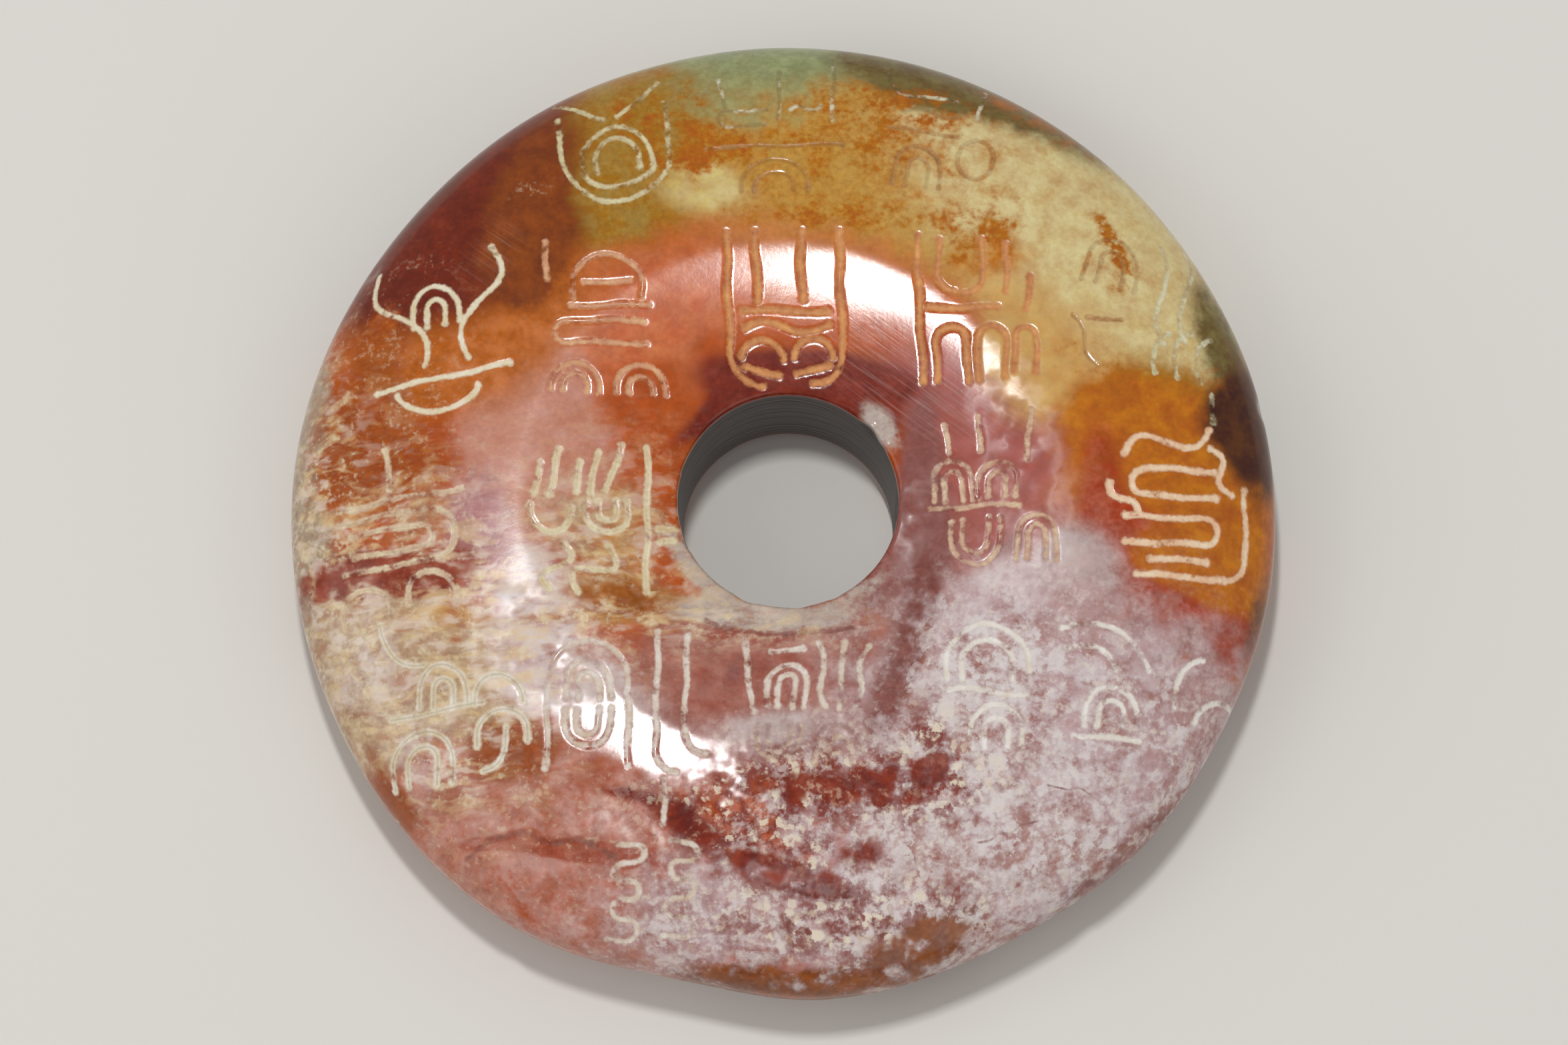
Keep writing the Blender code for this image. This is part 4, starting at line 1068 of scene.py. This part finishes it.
# What weathering has laid over the stains: where it lies, its pattern, the pattern's values where it starts
# and is full, how much of the stone it hides there, and its colour
LAYERS = (
    ("fibrous", "strata", 0.48, 0.60, 0.64, "E6C894"),
    ("fibrous", "strata", 0.48, 0.39, 0.55, "AC683E"),
    ("fibrous", "other strata", 0.49, 0.60, 0.68, "E0CCBA"),
    ("fibrous", "other strata", 0.48, 0.36, 0.50, "8F4A38"),
    ("fibrous", "flecks", 0.51, 0.66, 0.55, "E8DABA"),
    ("crust_cover", "patches", 0.51, 0.38, 0.75, "A87668"),
    ("crust_cover", "patches", 0.50, 0.62, 0.60, "D6C8CA"),
    ("crust_cover", "clumps", 0.45, 0.62, 0.62, "D2C4C6"),
    ("crust_cover", "gaps", 0.49, 0.35, 0.58, "A0685E"),
    ("crust_cover", "other clumps", 0.50, 0.66, 0.55, "E2DAD8"),
    ("crust_cover", "mottle", 0.45, 0.32, 0.55, "984E40"),
    ("crust_cover", "flecks", 0.52, 0.66, 0.60, "E6D6C4"),
    # This layer also lays the painted glints of the whitened spot beside the lower highlight
    ("whitened_and_glints", "other clumps", 0.38, 0.62, 0.72, "E2DAD8"),
    ("grain_cover", "gaps", 0.56, 0.42, 0.85, "7E2C1F"),
    ("grain_cover", "other clumps", 0.52, 0.64, 0.60, "D6C6C0"),
    ("grain_cover", "grains", 0.50, 0.70, 0.85, "E8DAC2"),
    ("specked", "flecks", 0.54, 0.66, 0.60, "E0C6A6"),
)
for name, form, start, full, most, tint in LAYERS:
    share = add("MapRange", {"Value": pattern[form], "From Min": start, "From Max": full, "To Max": most},
                interpolation_type="SMOOTHSTEP")
    share = add("Math", {0: share, 1: measured[name]}, operation="MULTIPLY")
    skin = add("Mix", {"Factor": share, "A": skin, "B": colour(tint)}, data_type="RGBA")

# Fine scratches, all one way, a little paler than the polish
SCRATCH_PALENESS = 0.22
across = add("Mapping", {
    "Vector": place,
    "Rotation": (0.0, 0.0, math.radians(-SCRATCH_FALL)),
    "Scale": (SCRATCH_LENGTH, SCRATCH_WIDTH, SCRATCH_LENGTH),
}, vector_type="TEXTURE")
scratches = add("TexNoise", {"Vector": across, "Scale": 1.0, "Detail": 2.0})
scratched = add("MapRange", {"Value": scratches, "From Min": 0.42, "From Max": 0.86},
                interpolation_type="SMOOTHSTEP")
scratched = add("Math", {0: scratched, 1: measured["scratched"]}, operation="MULTIPLY")
share = add("Math", {0: scratched, 1: SCRATCH_PALENESS}, operation="MULTIPLY")
skin = add("Mix", {"Factor": share, "A": skin, "B": colour("F0DCD6")}, data_type="RGBA")

# The strokes: smooth mineral packed in, worn away in places, with a dark core where it has shrunk. Noise
# frays the cut's edge, in half widths, and says where the mineral is gone in patches and where it crumbled.
CUT_FRAYED = 1.6
FILL_PATCHY = 1.4
FILL_CRUMBLED = 0.7
CUT_SHADE = 0.28
way = add("Math", {0: fine[1], 1: CUT_FRAYED, 2: measured["stroke_way"]}, operation="MULTIPLY_ADD")
cut = add("MapRange", {"Value": way, "From Min": 2.55, "From Max": 1.35}, interpolation_type="SMOOTHSTEP")
present = add("Math", {0: middle[1], 1: FILL_PATCHY, 2: measured["fill_share"]}, operation="MULTIPLY_ADD")
present = add("Math", {0: fine[0], 1: FILL_CRUMBLED, 2: present}, operation="MULTIPLY_ADD")
present = add("MapRange", {"Value": present, "From Min": 1.45, "From Max": 1.85},
              interpolation_type="SMOOTHSTEP")
packed = add("Math", {0: cut, 1: present}, operation="MULTIPLY")
# Painted shade in the grooves: the cut is darkened towards 9A6850
share = add("Math", {0: cut, 1: CUT_SHADE}, operation="MULTIPLY")
skin = add("Mix", {"Factor": share, "A": skin, "B": colour("9A6850")},
           data_type="RGBA", blend_type="MULTIPLY")
fill_tint = add("Mix", {"Factor": 0.4, "A": add("Attribute", attribute_name="fill").outputs["Color"],
                        "B": contrast}, data_type="RGBA", blend_type="OVERLAY")
skin = add("Mix", {"Factor": packed, "A": skin, "B": fill_tint}, data_type="RGBA")
share = add("MapRange", {"Value": measured["stroke_way"], "From Min": 0.5, "From Max": 0.2},
            interpolation_type="SMOOTHSTEP")
share = add("Math", {0: share, 1: measured["core"]}, operation="MULTIPLY")
skin = add("Mix", {"Factor": share, "A": skin, "B": colour("5C5058")}, data_type="RGBA")

# The bore's wall: grey-brown darkened towards black as painted shade inside the bore, with the drill's rings
# round it, a few to the mm and a little out of level
RINGS_PER_MM = 4.5
RING_WANDER = 1.2
height = add("SeparateXYZ", {"Vector": place}).outputs["Z"]
turns = add("Math", {0: broad[0], 1: RING_WANDER, 2: height}, operation="MULTIPLY_ADD")
turns = add("Math", {0: turns, 1: RINGS_PER_MM}, operation="MULTIPLY")
rings = add("TexNoise", {"W": turns, "Scale": 1.0, "Detail": 3.0, "Roughness": 0.7}, noise_dimensions="1D")
rings = add("MapRange", {"Value": rings, "From Min": 0.36, "From Max": 0.64})
wall_colour_and_shade = add("Mix", {"Factor": rings, "A": colour("1A1412"), "B": colour("6A5E57")}, data_type="RGBA")
skin = add("Mix", {"Factor": measured["bore_wall"], "A": skin, "B": wall_colour_and_shade}, data_type="RGBA")

# Relief too fine for the mesh, in mm: orange peel left by polishing, scratches, crumbs in the fills, flakes
relief = 0.0
for value, amount in ((fine[2], 0.002), (scratched, -0.0015)):
    relief = add("Math", {0: value, 1: amount, 2: relief}, operation="MULTIPLY_ADD")
for cover, value, amount in ((packed, fine[0], 0.009), (measured["crust_cover"], pattern["clumps"], 0.005),
                             (measured["crust_cover"], grit[1], 0.003)):
    share = add("Math", {0: cover, 1: value}, operation="MULTIPLY")
    relief = add("Math", {0: share, 1: amount, 2: relief}, operation="MULTIPLY_ADD")

# How much each of these dulls the polish
POLISHED = 0.10
roughness = POLISHED
for value, amount in ((middle[0], 0.05), (measured["crust_cover"], 0.45), (packed, 0.45),
                      (measured["fibrous"], 0.05), (measured["dulled"], 0.75), (measured["bore_wall"], 0.40)):
    roughness = add("Math", {0: value, 1: amount, 2: roughness}, operation="MULTIPLY_ADD")

shader = add("BsdfPrincipled", {
    "Base Color": skin,
    "Roughness": roughness,
    "IOR": 1.5,
    "Normal": add("Bump", {"Height": relief, "Distance": MM, "Strength": 1.0}),
})
add("OutputMaterial", {"Surface": shader.outputs["BSDF"]})
pendant_mesh.materials.append(jade)
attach(pendant, "root")
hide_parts("jade_disc")

# The table it lies on: a plain pale board, painted matt, so that it shows soft shadows and no grain. It, the
# lights and the camera are in metres.
BOARD_REACH = 0.6
floor_mesh = bpy.data.meshes.new("pale_board")
corners = [(x * BOARD_REACH, y * BOARD_REACH, 0) for x, y in ((-1, -1), (1, -1), (1, 1), (-1, 1))]
floor_mesh.from_pydata(corners, [], [(0, 1, 2, 3)])
floor = bpy.data.objects.new("pale_board", floor_mesh)
bpy.context.scene.collection.objects.link(floor)
board = bpy.data.materials.new("painted board, matt")
board.use_nodes = True
board_shader = board.node_tree.nodes["Principled BSDF"]
board_shader.inputs["Base Color"].default_value = colour("E4E1DB")
board_shader.inputs["Roughness"].default_value = 0.9
floor_mesh.materials.append(board)


# The light: a small softbox high up, which the crest mirrors as bright arcs, two wide ones at the sides and
# a dim white room
def lamp(name, place, width, length, power):
    """An oblong soft light that faces the disc, its length pointing at it when seen from above."""
    data = bpy.data.lights.new(name, "AREA")
    data.shape = "RECTANGLE"
    data.size, data.size_y = width, length
    data.energy = power
    made = bpy.data.objects.new(name, data)
    made.location = Vector(place)
    toward_disc = Vector((0, 0, HALF_THICKNESS * MM)) - made.location
    made.rotation_euler = toward_disc.to_track_quat("-Z", "Y").to_euler()
    bpy.context.scene.collection.objects.link(made)


lamp("key_softbox", (-0.0210, 0.0698, 0.4446), 0.026, 0.052, 0.74)
lamp("left_softbox", (-0.375, -0.100, 0.330), 0.36, 0.36, 0.42)
lamp("front_softbox", (0.230, -0.340, 0.260), 0.36, 0.36, 0.24)
world = bpy.data.worlds.new("studio")
bpy.context.scene.world = world
world.use_nodes = True
room = world.node_tree.nodes["Background"]
room.inputs["Color"].default_value = (1.0, 1.0, 1.0, 1.0)
room.inputs["Strength"].default_value = 0.38
bpy.context.scene.view_settings.view_transform = "Standard"

# The camera looks down at the photograph's angle, with the whole disc in its frame
CAMERA_DISTANCE = 0.400
CAMERA_ELEVATION = math.radians(74)
CAMERA_AIM = Vector((0.00004, -0.00041, HALF_THICKNESS * MM - 0.00012))
lens = bpy.data.cameras.new("photo_view")
lens.lens = 161.3
lens.sensor_width = 36.0
lens.clip_start = 0.01
camera = bpy.data.objects.new("photo_view", lens)
toward = Vector((0, -math.cos(CAMERA_ELEVATION), math.sin(CAMERA_ELEVATION)))
camera.location = CAMERA_AIM + toward * CAMERA_DISTANCE
camera.rotation_euler = (-toward).to_track_quat("-Z", "Y").to_euler()
bpy.context.scene.collection.objects.link(camera)
bpy.context.scene.camera = camera
